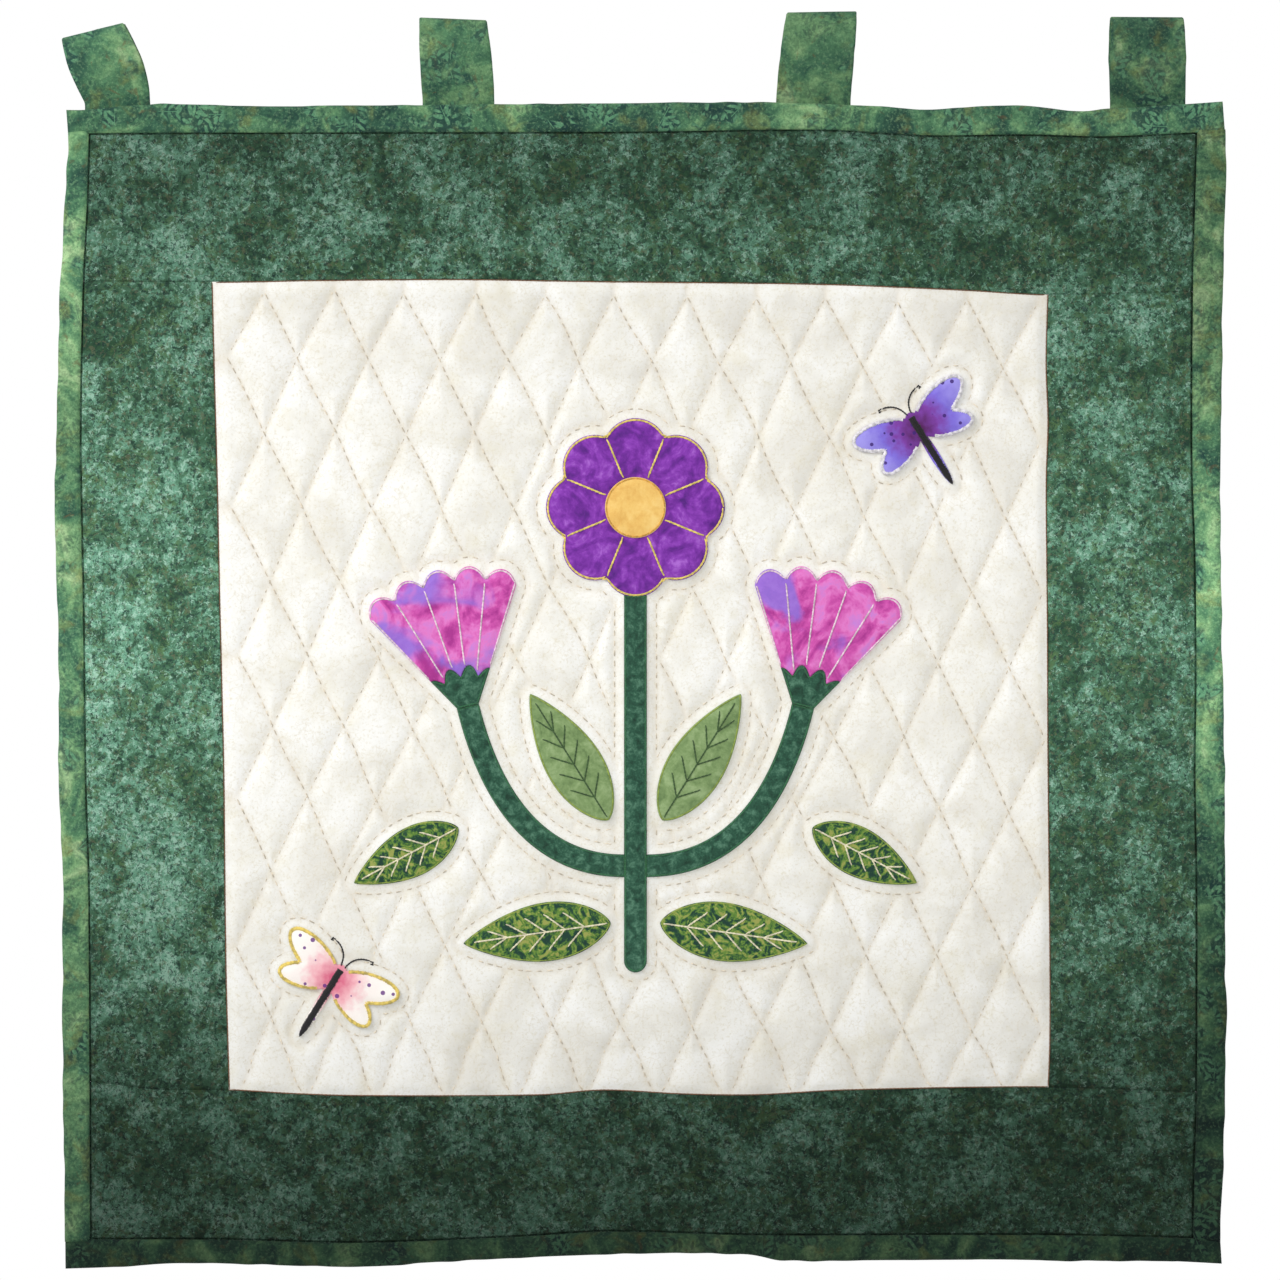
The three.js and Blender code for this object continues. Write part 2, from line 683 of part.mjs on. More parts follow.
// A top or bottom strip; down is 1 where its seam lies below its outer edge
function wideStrip(edge, bindingLine, seam, down) {
  return strip(wideStations(edge), (row, station) => {
    const seamX = bentStation(station, edge, dropOf(seam, station));
    const seamDrop = dropOf(seam, seamX) - down * SEAM_INSET;
    const drop = rowPlace(row, dropOf(edge, station), dropOf(bindingLine, station), seamDrop);
    return { x: bentStation(station, edge, drop), drop, toSeam: Math.abs(seamDrop - drop) };
  });
}

function borderTop() {
  const { front, back } = wideStrip(TOP_EDGE, TOP_BINDING_LINE, UPPER_SEAM, 1);
  add('border_top', slab(front, back), 'border');
}

function borderBottom() {
  const { front, back } = wideStrip(BOTTOM_EDGE, BOTTOM_BINDING_LINE, LOWER_SEAM, -1);
  add('border_bottom', slab([...front].reverse(), [...back].reverse()), 'border');
}

const TALL_STEPS = 20;
const MIDDLE_DROP = 335;

// A side strip runs from the upper seam, station 0, down to the lower one, station 1
function sideStrip(edge, bindingLine, seam) {
  const level = (x, station) =>
    THREE.MathUtils.lerp(dropOf(UPPER_SEAM, x) + SEAM_INSET, dropOf(LOWER_SEAM, x) - SEAM_INSET, station);
  return strip(evenly(0, 1, TALL_STEPS), (row, station) => {
    const edgeDrop = level(xOf(edge, MIDDLE_DROP), station);
    const seamDrop = level(xOf(seam, MIDDLE_DROP), station);
    const seamX = xOf(seam, seamDrop) + Math.sign(xOf(edge, edgeDrop)) * SEAM_INSET;
    const x = rowPlace(row, xOf(edge, edgeDrop), xOf(bindingLine, edgeDrop), seamX);
    return { x, drop: level(x, station), toSeam: Math.abs(seamX - x) };
  });
}

function borderLeft() {
  const { front, back } = sideStrip(LEFT_EDGE, LEFT_BINDING_LINE, LEFT_SEAM);
  add('border_left', slab(transposed(front), transposed(back)), 'border');
}

function borderRight() {
  const { front, back } = sideStrip(RIGHT_EDGE, RIGHT_BINDING_LINE, RIGHT_SEAM);
  const mirrored = (rows) => transposed(rows).map((row) => [...row].reverse());
  add('border_right', slab(mirrored(front), mirrored(back)), 'border');
}

// Section of a binding strip, folded round the raw edge: depth is the distance in from the fold,
// cavity how far in from it the hollow for the sheet's edge begins
function bindingSection(reach, cloth, cavity) {
  const inside = HEM_HALF + GAP;
  const outside = inside + cloth;
  const fold = outside * FOLD_ROUNDING.share;
  return [
    { depth: reach, forward: outside },
    { depth: FOLD_ROUNDING.depth, forward: outside },
    { depth: 0, forward: fold },
    { depth: 0, forward: -fold },
    { depth: FOLD_ROUNDING.depth, forward: -outside },
    { depth: reach, forward: -outside },
    { depth: reach, forward: -inside },
    { depth: cavity, forward: -inside },
    { depth: cavity, forward: inside },
    { depth: reach, forward: inside },
  ];
}

function endCaps(sections) {
  const cap = (section) => [
    [section[0], section[1], section[8]],
    [section[0], section[8], section[9]],
    [section[1], section[2], section[8]],
    [section[2], section[3], section[8]],
    [section[3], section[7], section[8]],
    [section[3], section[4], section[7]],
    [section[4], section[5], section[7]],
    [section[5], section[6], section[7]],
  ];
  const last = sections[sections.length - 1];
  return [...reversed(cap(sections[0])), ...cap(last)];
}

// Turns the triangles round where they face inwards
function facingOut(triangles) {
  const volume = triangles.reduce((sum, [a, b, c]) => sum + a.dot(b.clone().cross(c)), 0);
  return volume > 0 ? triangles : reversed(triangles);
}

function binding(name, stations, place) {
  const sections = stations.map((station) =>
    place(station).map(({ x, drop, forward }) => onSheet(x, drop, forward)),
  );
  add(name, closedGeometry(facingOut([...loft(sections), ...endCaps(sections)])), 'batik');
}

// Top and bottom strips: closed at their ends, where the hollow stops short
function wideBinding(name, edge, line, down) {
  const inner = wideStations(edge);
  const left = inner[0] - HEM_INSET;
  const right = inner[inner.length - 1] + HEM_INSET;
  const stations = [left, left + BINDING_FOLD, ...inner, right - BINDING_FOLD, right];
  binding(name, stations, (x) => {
    const from = dropOf(edge, x);
    const reach = Math.abs(dropOf(line, x) - from);
    const cavity = x === left || x === right ? reach - END_CLOTH : BINDING_FOLD;
    return bindingSection(reach, TOP_BINDING_CLOTH, cavity).map(({ depth, forward }) => {
      const drop = from + down * depth;
      return { x: bentStation(x, edge, drop), drop, forward };
    });
  });
}

// Side strips: their ends run up to the strips that lie over them
function tallBinding(name, edge, line, inward) {
  const level = (x, share) =>
    THREE.MathUtils.lerp(dropOf(TOP_BINDING_LINE, x) + GAP, dropOf(BOTTOM_BINDING_LINE, x) - GAP, share);
  binding(name, evenly(0, 1, TALL_STEPS + 4), (share) => {
    const edgeDrop = level(xOf(edge, MIDDLE_DROP), share);
    const from = xOf(edge, edgeDrop);
    const reach = Math.abs(xOf(line, edgeDrop) - from);
    return bindingSection(reach, BINDING_CLOTH, BINDING_FOLD).map(({ depth, forward }) => {
      const x = from + inward * depth;
      return { x, drop: level(x, share), forward };
    });
  });
}

// A tab is a strip of cloth with its ends sewn together behind the top edge, open as a loop
function tab(name, { foot, crown, footWidth, crownWidth, rise, tilt }) {
  const section = [
    ...TAB_SECTION.map((row) => ({ ...row, side: -1 })),
    ...TAB_SECTION.slice(0, -1).reverse().map((row) => ({ ...row, side: 1 })),
  ];
  const scale = rise / TAB_RISE;
  const edge = dropOf(TOP_EDGE, foot);
  const place = (height, across, outward) => {
    const share = Math.max(height / TAB_RISE, 0);
    const middle = THREE.MathUtils.lerp(foot, crown, share ** 1.2);
    const fromMiddle = across * THREE.MathUtils.lerp(footWidth, crownWidth, share);
    const up = (height > 0 ? height * scale : height) + tilt * fromMiddle * share;
    const x = middle + fromMiddle;
    return new THREE.Vector3(x, outward - foldDepth(x, edge), -edge + up);
  };
  const columns = evenly(-0.5, 0.5, TAB_COLUMNS - 1);
  const outer = columns.map((c) => section.map((row) => place(row.outerRise, c, row.side * row.outer)));
  const inner = columns.map((c) => section.map((row) => place(row.innerRise, c, row.side * row.inner)));
  const triangles = loft(outer);
  triangles.push(...reversed(loft(inner)));
  const ends = [[outer[0], inner[0]], [inner[TAB_COLUMNS - 1], outer[TAB_COLUMNS - 1]]];
  for (const [from, to] of ends) {
    for (let k = 0; k < section.length; k += 1) {
      const next = (k + 1) % section.length;
      triangles.push(...quad(from[next], from[k], to[k], to[next]));
    }
  }
  add(name, closedGeometry(facingOut(triangles)), 'batik');
}

// A point of an applique piece on the panel, at a height over the quilting
function onPanel({ u, v }, height) {
  return onSheet(DESIGN.x + u, DESIGN.drop - v, APPLIQUE_LIFT + height);
}

// Front height of a piece: its turned edge is thinner than its middle
const pillow = (fullness) => THREE.MathUtils.lerp(APPLIQUE_TURNED_EDGE, APPLIQUE_CLOTH, fullness);

// A piece between a left and a right edge, from its top row down; place gives a point at
// (t down the piece, s from -1 to 1 across it)
function patch(name, material, rows, columns, place) {
  const full = (s) => 1 - Math.abs(s) ** 3;
  const front = grid(rows, columns, (t, s) => onPanel(place(t, s), pillow(full(s))));
  const back = grid(rows, columns, (t, s) => onPanel(place(t, s), 0));
  add(name, slab(front, back), material);
}

const ACROSS = [-1, -0.5, 0.5, 1];

function mainStem() {
  const { bottom, top } = MAIN_STEM;
  const rows = [...evenly(top, bottom + STEM_HALF, 10), bottom + 3, bottom + 1, bottom + 0.1];
  patch('stem_main', 'stem', rows, ACROSS, (v, s) => {
    const intoEnd = Math.max(bottom + STEM_HALF - v, 0) / STEM_HALF;
    return { u: s * STEM_HALF * Math.sqrt(1 - intoEnd * intoEnd), v };
  });
}

function sideStem(name, side) {
  patch(name, 'stem', evenly(1, 0, 12), ACROSS, (t, s) => {
    const { at, along } = bezier(SIDE_STEM, t);
    const out = s * side * STEM_HALF;
    return { u: side * (at.x + along.y * out), v: at.y - along.x * out };
  });
}

function leaf(name, material, side, shape) {
  const rows = evenly(1, 0, 8);
  patch(name, material, rows, ACROSS, (t, s) => {
    const { u, v } = polar(shape, shape.aim, shape.length * t);
    const across = s * side * leafHalf(shape, t);
    const aim = radians(shape.aim);
    return { u: side * (u + across * Math.sin(aim)), v: v - across * Math.cos(aim) };
  });
}

// A bloom fans out from the end of its stem, and a calyx holds its foot
function fan(name, material, side, inner, outer, columns, steps) {
  const rows = evenly(1, 0, steps);
  patch(name, material, rows, columns, (t, s) => {
    const reach = THREE.MathUtils.lerp(inner(s), outer(s), t);
    const { u, v } = polar(FAN_MIDDLE, BLOOM.aim - side * s * BLOOM.halfAngle, reach);
    return { u: side * u, v };
  });
}

function bloom(name, side) {
  fan(`bloom_${name}`, 'pink', side, (s) => calyxEdge(s) + GAP, bloomEdge, evenly(-1, 1, 20), 3);
  fan(`calyx_${name}`, 'stem', side, calyxFoot, calyxEdge, evenly(-1, 1, 12), 2);
}

const FLAT_RINGS = [0, 1];

function rosette() {
  const angles = evenly(0, 360, ROSETTE.petals * 8).slice(0, -1);
  const rings = [0, 0.5, 0.86, 1];
  const place = (share, angle) => polar(ROSETTE, angle, share * rosetteReach(angle));
  const full = (share) => 1 - share ** 6;
  const front = grid(rings, angles, (share, angle) => onPanel(place(share, angle), pillow(full(share))));
  const back = grid(FLAT_RINGS, angles, (share, angle) => onPanel(place(share, angle), 0));
  add('rosette', disc(front, back), 'purple');
}

function rosetteCentre() {
  const angles = evenly(0, 360, 24).slice(0, -1);
  const rings = [0, 0.7, 1];
  const foot = APPLIQUE_CLOTH + GAP;
  const place = (share, angle) => polar(ROSETTE, angle, share * ROSETTE_CENTRE_RADIUS);
  const top = (share) => foot + pillow(1 - share ** 4);
  const front = grid(rings, angles, (share, angle) => onPanel(place(share, angle), top(share)));
  const back = grid(FLAT_RINGS, angles, (share, angle) => onPanel(place(share, angle), foot));
  add('rosette_centre', disc(front, back), 'yellow');
}

function insect({ name, u, v, aim }, material) {
  const angles = evenly(0, 360, 72).slice(0, -1);
  const rings = [0, 0.6, 1];
  const place = (share, angle) => polar({ u, v }, angle + aim, share * insectReach(angle));
  const full = (share) => 1 - share ** 3;
  const front = grid(rings, angles, (share, angle) => onPanel(place(share, angle), pillow(full(share))));
  const back = grid(FLAT_RINGS, angles, (share, angle) => onPanel(place(share, angle), 0));
  add(name, disc(front, back), material);
}

centrePanel();
borderTop();
borderBottom();
borderLeft();
borderRight();
wideBinding('binding_top', TOP_EDGE, TOP_BINDING_LINE, 1);
wideBinding('binding_bottom', BOTTOM_EDGE, BOTTOM_BINDING_LINE, -1);
tallBinding('binding_left', LEFT_EDGE, LEFT_BINDING_LINE, 1);
tallBinding('binding_right', RIGHT_EDGE, RIGHT_BINDING_LINE, -1);
TABS.forEach((shape, i) => tab(`tab_${i + 1}`, shape));
mainStem();
sideStem('stem_left', -1);
sideStem('stem_right', 1);
LEAF_PAIRS.forEach((shape, i) => {
  const material = i === 1 ? 'light_leaf' : 'batik_leaf';
  leaf(`leaf_${2 * i + 1}`, material, -1, shape);
  leaf(`leaf_${2 * i + 2}`, material, 1, shape);
});
bloom('left', -1);
bloom('right', 1);
rosette();
rosetteCentre();
insect(INSECTS[0], 'violet');
insect(INSECTS[1], 'pale');

export default group;
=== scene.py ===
"""Applique wall hanging: its cloth, quilting and thread work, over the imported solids.

Sizes are in millimetres until on_sheet turns them into the frame's metres. x runs to the right, drop is
the distance below the rod's axis and forward the distance in front of the sheet's middle. On the panel
u and v are counted to the right of and above the middle of the applique.
"""
import math

import bmesh
import bpy
import numpy as np
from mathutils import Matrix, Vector
from mathutils.bvhtree import BVHTree
from mathutils.kdtree import KDTree


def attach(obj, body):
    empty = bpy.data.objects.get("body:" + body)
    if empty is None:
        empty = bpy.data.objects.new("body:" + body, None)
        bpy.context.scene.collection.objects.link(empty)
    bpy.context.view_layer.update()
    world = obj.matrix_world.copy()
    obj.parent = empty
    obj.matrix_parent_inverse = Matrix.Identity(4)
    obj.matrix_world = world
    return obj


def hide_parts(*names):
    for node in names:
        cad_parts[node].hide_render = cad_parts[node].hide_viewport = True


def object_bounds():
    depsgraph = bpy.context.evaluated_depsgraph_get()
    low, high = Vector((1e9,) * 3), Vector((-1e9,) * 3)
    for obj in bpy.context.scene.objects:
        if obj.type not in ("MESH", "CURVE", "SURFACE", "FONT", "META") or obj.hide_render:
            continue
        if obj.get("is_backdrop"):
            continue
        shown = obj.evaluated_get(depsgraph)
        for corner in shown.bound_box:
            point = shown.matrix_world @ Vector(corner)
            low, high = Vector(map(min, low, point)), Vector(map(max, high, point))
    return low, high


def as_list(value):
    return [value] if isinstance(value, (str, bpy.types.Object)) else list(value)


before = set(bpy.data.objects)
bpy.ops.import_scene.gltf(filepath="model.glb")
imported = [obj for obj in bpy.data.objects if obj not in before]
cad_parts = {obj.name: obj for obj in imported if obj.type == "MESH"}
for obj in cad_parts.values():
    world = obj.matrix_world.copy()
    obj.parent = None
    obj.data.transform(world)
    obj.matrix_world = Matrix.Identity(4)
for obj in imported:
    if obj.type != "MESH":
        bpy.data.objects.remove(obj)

CAD_BOX = [list(corner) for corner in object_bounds()]

# Thicknesses of the quilted sheet, each counted from its middle to one face
STITCHED_HALF = 1.0
FRONT_PUFF = 2.1
BACK_PUFF = 0.8
SEAM_HALF = 1.1
HEM_HALF = 1.3
BORDER_HALF = 2.3
PUFF_ROUNDNESS = 3.4
# Width of the painted shade along the quilting's valleys
VALLEY_SHADE_WIDTH = 1.6

# Cloth thicknesses
GAP = 0.3
BINDING_CLOTH = 0.8
TOP_BINDING_CLOTH = 1.1
BINDING_CAVITY = 1.2
APPLIQUE_CLOTH = 1.3
TURNED_EDGE = 0.9
TURNED_EDGE_WIDTH = 0.8
TAB_CLOTH = 1.5
TAB_RISE = 47
SHEET_Y = -(HEM_HALF + GAP + TOP_BINDING_CLOTH + GAP + TAB_CLOTH)

# The quilting's lattice of half diamonds, and the stitches
LATTICE_COLUMNS = 23
LATTICE_ROWS = 11
LATTICE_WOBBLE = 0.9
HALF_DIAMOND = 16.7  # from the middle of a diamond to its sides
ECHO = 5.0  # from an applique piece to the line of stitches round it
STITCH_PITCH = 5.3
STITCH_LENGTH = 3.3
QUILTING_THREAD = 0.3  # radii
EMBROIDERY_THREAD = 0.42
FINE_THREAD = 0.3
SEAM_THREAD_INSET = 0.25
SATIN_PITCH = 0.6
STITCH_DROP = 0.35  # behind the cloth that a satin stitch crosses
STITCH_SHIFT = 0.07  # share of the pitch by which a running stitch may lie off its place
STITCH_LENGTHS = (0.85, 1.12)  # shares of the stitch length
STITCH_SLANT = 0.75  # of the thread's radius, to each side of a stem-stitched line
SHORTEST_RUN = 4  # points
DIAMOND_STOP = 1.5  # from the echo line to the ends of the diamonds' lines
ECHO_SLACK = 0.12

# Edges of the border strips under the binding and at the seam, and the groove beside the binding
HEM_INSET = 1.7
SEAM_INSET = 0.05
SIDE_DITCH = 1.9
TOP_DITCH = 1.2
DITCH_MIDDLE = 0.3
DITCH_HALF = 0.55
# Grid lines across a border strip: 0 is its raw edge, 1 the edge of the binding and 2 the seam
AT_BINDING = np.array([-0.006, -0.002, 0.002, 0.006, 0.01, 0.014, 0.02, 0.03, 0.045, 0.065])
ACROSS_STRIP = np.concatenate([
    [0, 0.4, 0.7, 0.88, 0.96], 1 + AT_BINDING,
    np.linspace(1.09, 1.91, 30), [1.93, 1.95, 1.965, 1.98, 1.99, 2],
])
SIDE_STRIP_DROPS = (121.5, 547)
SIDE_BINDING_DROPS = (44.0, 624.0)
SIDE_BINDING_OVER = 1.2  # how far the side bindings reach under the top and bottom ones
BINDING_STATIONS = 260
BINDING_FLATS = np.array([0, 0.04, 0.1, 0.19, 0.32, 0.5, 0.7, 0.87])  # shares of its flat part
BINDING_SWING = 0.09  # share by which a loose fold stands off
SEWN_EDGE_DROP = 1.1  # how far a binding is drawn down at its sewn edge
SEWN_EDGE_WIDTH = 1.5
BINDING_SINK = 0.12
EDGE_RIPPLE = 0.28
EDGE_RIPPLE_WIDTH = 2.5
BINDING_LIP = 0.2
LIP_SHARE = 0.7
ROUGH_DEPTH = 5  # the binding's fold is uneven to this depth from the edge
END_ROUNDING = 2.4
LEAST_END = 0.15  # share of its thickness at the very end of a wide binding
END_CROWDING = 0.8
PLACE_ROUNDS = 3

# Distances over which the cloths rise to their full thickness: from the binding, the panel's seam, the
# border's seam, an applique's edge and a tab's foot
BORDER_RISE = (1.2, 9)
SEAM_RISE = (-0.5, 7)
PANEL_RISE = (-1, 6)
COVER_RISE = (0.5, 5)
CRUMPLE_RISE = (3, 18)
STRIP_SEAM_WIDTH = 1.1
STRIP_SEAM_DEPTH = 0.5
STRIP_SEAM_START = (0, 4)
TAB_ROUNDING = 0.8
TAB_LEAN = 1.2
TAB_COLUMNS = 22
TAB_STEPS = 8  # for each row of the section

# Unevenness: height, size of its bumps and seed
PANEL_RIPPLES = [(0.16, 7, 3), (0.12, 3.1, 4), (0.3, 24, 5)]
BORDER_RIPPLES = [(0.28, 31, 21), (0.16, 11, 22), (0.07, 4, 23)]
TAB_SWAY = [(0.35, 14, 41), (0.2, 5, 42)]
TAB_CRUMPLE = [(0.45, 12, 43), (0.2, 4.5, 44)]

# Outline of the hanging and the line where each binding strip stops, as (x, drop) or (drop, x)
TOP_EDGE = [
    (-305, 31.5), (-293, 31.5), (-259, 28.5), (-188, 29.5), (-79, 28.5), (70, 27.5), (127, 30),
    (152, 31.5), (176, 29.5), (201, 29.5), (226, 32), (245, 31), (285, 28.5), (306, 27),
]
TOP_LINE = [
    (-305, 45), (-291, 44), (-149, 43.5), (-2, 43), (93, 42), (149, 45), (201, 44.5), (242, 45.5),
    (290, 43.5), (306, 43),
]
BOTTOM_EDGE = [
    (-305, 640.5), (-277, 639.5), (-244, 637.5), (-149, 639), (-95, 636), (-36, 633), (19, 632),
    (57, 633), (75, 636), (167, 635.5), (224, 636.5), (274, 636.5), (306, 638),
]
BOTTOM_LINE = [
    (-305, 625), (-223, 625), (-149, 626.5), (-62, 623), (-19, 620.5), (62, 622.5), (167, 622.5),
    (231, 623), (306, 625),
]
LEFT_EDGE = [
    (31, -303), (46, -302), (70, -303), (103, -305), (153, -307), (218, -308.5), (268, -308.5),
    (300, -307), (375, -307), (436, -305), (563, -305), (597, -304), (641, -303.5),
]
LEFT_LINE = [
    (44, -291), (81, -292), (121, -294), (196, -295.5), (239, -295), (289, -294), (386, -293),
    (436, -291.5), (517, -291), (641, -290.5),
]
RIGHT_EDGE = [
    (27, 304.5), (51, 306), (81, 306), (124, 305), (228, 303), (289, 303.5), (354, 305),
    (478, 306), (521, 306.5), (585, 305), (623, 303.5), (641, 304.5),
]
RIGHT_LINE = [
    (44, 291), (81, 290), (121, 289), (218, 288.5), (268, 290), (332, 290.5), (380, 290),
    (436, 291), (553, 291), (585, 290), (641, 289),
]
UPPER_SEAM = [
    (-309, 121.5), (-227, 122), (-170, 121), (-95, 120.5), (-30, 121.5), (93, 123), (167, 126),
    (213, 128.5), (289, 127), (309, 127),
]
LOWER_SEAM = [
    (-309, 542), (-291, 542), (-256, 546), (-218, 546.5), (-183, 548.5), (-149, 549.5), (-54, 549),
    (-21, 546.5), (20, 548.5), (58, 549), (106, 546.5), (213, 545), (291, 547.5), (309, 547.5),
]
LEFT_SEAM = [
    (120, -226.5), (164, -225.5), (218, -224), (289, -222.5), (332, -221.5), (375, -220.5),
    (476, -219.5), (517, -218.5), (549, -217.5),
]
RIGHT_SEAM = [
    (126, 213), (164, 212), (196, 213), (228, 212), (289, 212.5), (386, 213), (478, 214),
    (521, 214), (548, 213),
]
LINES = (TOP_LINE, BOTTOM_LINE, LEFT_LINE, RIGHT_LINE)
SEAMS = (UPPER_SEAM, LOWER_SEAM, LEFT_SEAM, RIGHT_SEAM)
PANEL_MIDDLE_DROP = 335

# Ends of each lattice row of the quilting: row, left x, its drop, right x, its drop
QUILT_ROWS = [
    (0, -217.5, 126, 207, 132.5), (1, -218.5, 161.5, 207.5, 167), (2, -217.5, 200, 208.5, 205.5),
    (3, -216.5, 239.5, 209, 245.5), (4, -214.5, 278.5, 209.5, 285.5), (5, -213, 317.5, 210.5, 324),
    (6, -213, 354.5, 211, 362.5), (7, -213.5, 392, 210.5, 400), (8, -214, 431, 210, 439),
    (9, -214, 470, 209.5, 476.5), (10, -214, 508.5, 209.5, 515.5), (11, -214, 546.5, 209.5, 545.5),
]

# Soft folds of the hung sheet, then its smaller creases: x, drop, turn, length, width, rise
FOLDS = [
    (-300, 260, 90, 190, 75, 3.2), (-260, 520, 70, 130, 70, -2.2), (-40, 640, 0, 150, 80, 3),
    (245, 85, 35, 80, 42, 1.6), (262, 150, 40, 70, 45, -1.4), (305, 330, 90, 140, 70, 2.4),
    (285, 610, 135, 120, 75, -2.6), (152, 30, 90, 60, 55, 1.6), (-180, 60, 10, 110, 60, 1.2),
    (60, 400, 80, 220, 120, 1.2),
]
CREASES = [
    (299, 105, 8, 12, 2.6, -0.7), (300, 154, -6, 12, 3, -0.8), (152, 34, 88, 12, 4, -0.9),
    (-31, 592, 84, 34, 5, 0.8), (-21, 600, 88, 30, 7, -0.5), (250, 86, 36, 52, 7, 0.9),
    (262, 96, 38, 46, 8, -0.8), (240, 66, 30, 30, 6, -0.5), (-262, 300, 86, 70, 9, 0.5),
    (254, 400, 93, 90, 10, 0.5), (262, 520, 70, 60, 9, -0.5), (-120, 84, 4, 90, 9, 0.4),
    (-297, 54, 6, 10, 2.4, -0.9), (-299, 110, -6, 10, 2.4, -0.8), (301, 292, 5, 10, 2.6, -0.8),
    (302, 340, -8, 10, 2.6, -0.7), (-262, 430, 80, 40, 8, -0.5), (-250, 160, 60, 40, 7, 0.5),
]

# Hanging tabs: x of foot and crown, their widths, rise, tilt and how far the sides bow out
TABS = [
    (-276, -289.5, 33.5, 33, 40.5, 0.246, 2.4), (-97, -100, 37.5, 36, 45.5, -0.04, 0.5),
    (89.5, 94, 39, 37, 48.5, 0.015, 0.3), (265.5, 265, 39.5, 38.5, 47.5, -0.007, 0.4),
]
# Half of a loop's section, root to crown: rise and half depth outside, rise and half depth inside
TAB_SECTION = [
    (-12, 1.5, 3, 0), (2, 1.6, 3, 0), (10, 3.6, 10, 2.1), (20, 6.1, 20, 4.6), (31, 7.5, 31, 6),
    (40, 6.6, 39, 5.1), (45.5, 3.4, 44, 2.5), (47, 0, 45.5, 0),
]

# The applique: a spray of flowers, and two small winged insects, in u, v and degrees
DESIGN = (-4, 336.5)
ROSETTE = (0, 96)
PETALS = 8
PETAL_RADIUS = 17
PETAL_OFFSET = 30
CENTRE_RADIUS = 16
STEM_HALF = 6
STEM_FOOT = -148
SIDE_STEM = [(6.3, -92), (50, -92), (76, -58), (88, -8)]
BLOOM_AIM = 76.5
BLOOM_HALF_ANGLE = 31
BLOOM_REACH = 83
SCALLOPS = 5
SCALLOP_DEPTH = 7
CALYX_FOOT = 10.3
FOOT_OVERLAP = 0.8
CALYX_REACH = 25
SEPALS = 3
SEPAL_DEPTH = 6
# Leaves at the right of the stem: u, v, aim, length, half width
LEAVES = [(13, -122, -8, 78, 15.5), (14, -68, 58, 78, 15), (93, -72, -28, 62, 13)]
LIGHT_LEAF = 1
SIDES = (("left", -1), ("right", 1))
INSECTS = [("upper", 148, 138, 122), ("lower", -158, -152, 58)]  # u, v, aim
# Lobes of an insect: turn from its aim, reach, half width. The first is the head, the last the tail
LOBES = [(0, 9, 3.8), (72, 35, 8), (-72, 35, 8), (112, 30, 7), (-112, 30, 7), (180, 35, 2.6)]
LOBE_HALF_LENGTH = 0.52
BODY_THREAD = 0.38
BODY_HALF = 1.95
BODY_HEAD = 6
BODY_TAIL = 34.8
BODY_TAPER = 9
WING_ROOT = 9  # the wings' edges are sewn beyond this reach
TAIL_TURN = 150  # and this side of this turn

# Painted light and shade: how bright the cloths are painted down the hanging, as a drop and share
PAINTED_LIGHT_DROP = 650
PANEL_PAINTED_LIGHT = [(120, 0.92), (200, 0.98), (300, 1.0), (410, 0.98), (480, 0.92), (548, 0.85)]
BORDER_PAINTED_LIGHT = [
    (40, 0.52), (80, 0.62), (150, 0.87), (240, 1.12), (315, 1.28), (400, 0.98), (480, 0.7), (530, 0.38),
    (570, 0.27), (640, 0.19),
]
LEFT_PAINTED_LIGHT = [(40, 0.85), (140, 1.0), (190, 0.75), (310, 1.0), (430, 0.8), (520, 0.6), (630, 0.38)]
RIGHT_PAINTED_LIGHT = [
    (40, 0.4), (150, 0.42), (210, 0.7), (280, 1.0), (360, 0.85), (420, 0.5), (500, 0.24), (640, 0.12),
]
EVEN = [(0, 1.0), (650, 1.0)]

# The batiks: the painted light and shade added to their lightness at the top and foot, their painted
# brightness gain at the left and right, their contrast, and how bright they are painted down the hanging
BATIKS = {
    "tabs": ((0.02, 0.02), (1.19, 0.8), 0.0, EVEN),
    "top": ((-0.01, -0.01), (1.12, 1.12), 0.15, EVEN),
    "bottom": ((0.01, 0.01), (0.26, 0.26), 0.1, EVEN),
    "left": ((0.07, 0.03), (1.5, 1.5), 0.12, LEFT_PAINTED_LIGHT),
    "right": ((0.09, -0.07), (1.9, 1.9), 0.2, RIGHT_PAINTED_LIGHT),
}
BATIK_SPAN = (-40, -640)
HALF_WIDTH = 300
LIGHT_PIVOT = 0.15  # the brightness that a change of contrast leaves as it is
# Dyed cottons: size of the patches, how far they are swirled, a second colour, and levels of the first
DYED = {
    "stem_green": (5, 0.4, None, ((0.36, (24, 56, 42)), (0.5, (40, 84, 64)), (0.64, (84, 128, 104)))),
    "batik_leaf": (9, 2.5, None, (
        (0.44, (26, 60, 48)), (0.475, (50, 92, 50)), (0.505, (88, 124, 50)), (0.54, (104, 138, 58)),
        (0.58, (150, 156, 80)),
    )),
    "light_leaf": (10, 1.0, None, ((0.36, (100, 126, 78)), (0.5, (126, 152, 98)), (0.64, (150, 174, 122)))),
    "pink_batik": (26, 1.8, (134, 112, 216), (
        (0.36, (168, 50, 140)), (0.46, (206, 82, 170)), (0.55, (226, 122, 198)), (0.66, (196, 130, 214)),
    )),
    "purple_batik": (17, 1.6, None, (
        (0.34, (78, 28, 120)), (0.47, (112, 40, 152)), (0.56, (136, 58, 176)), (0.68, (172, 104, 208)),
    )),
    "yellow_cotton": (9, 0.5, None, (
        (0.36, (226, 176, 92)), (0.5, (238, 194, 108)), (0.64, (246, 208, 128)),
    )),
}
WING_REACH = 40.0
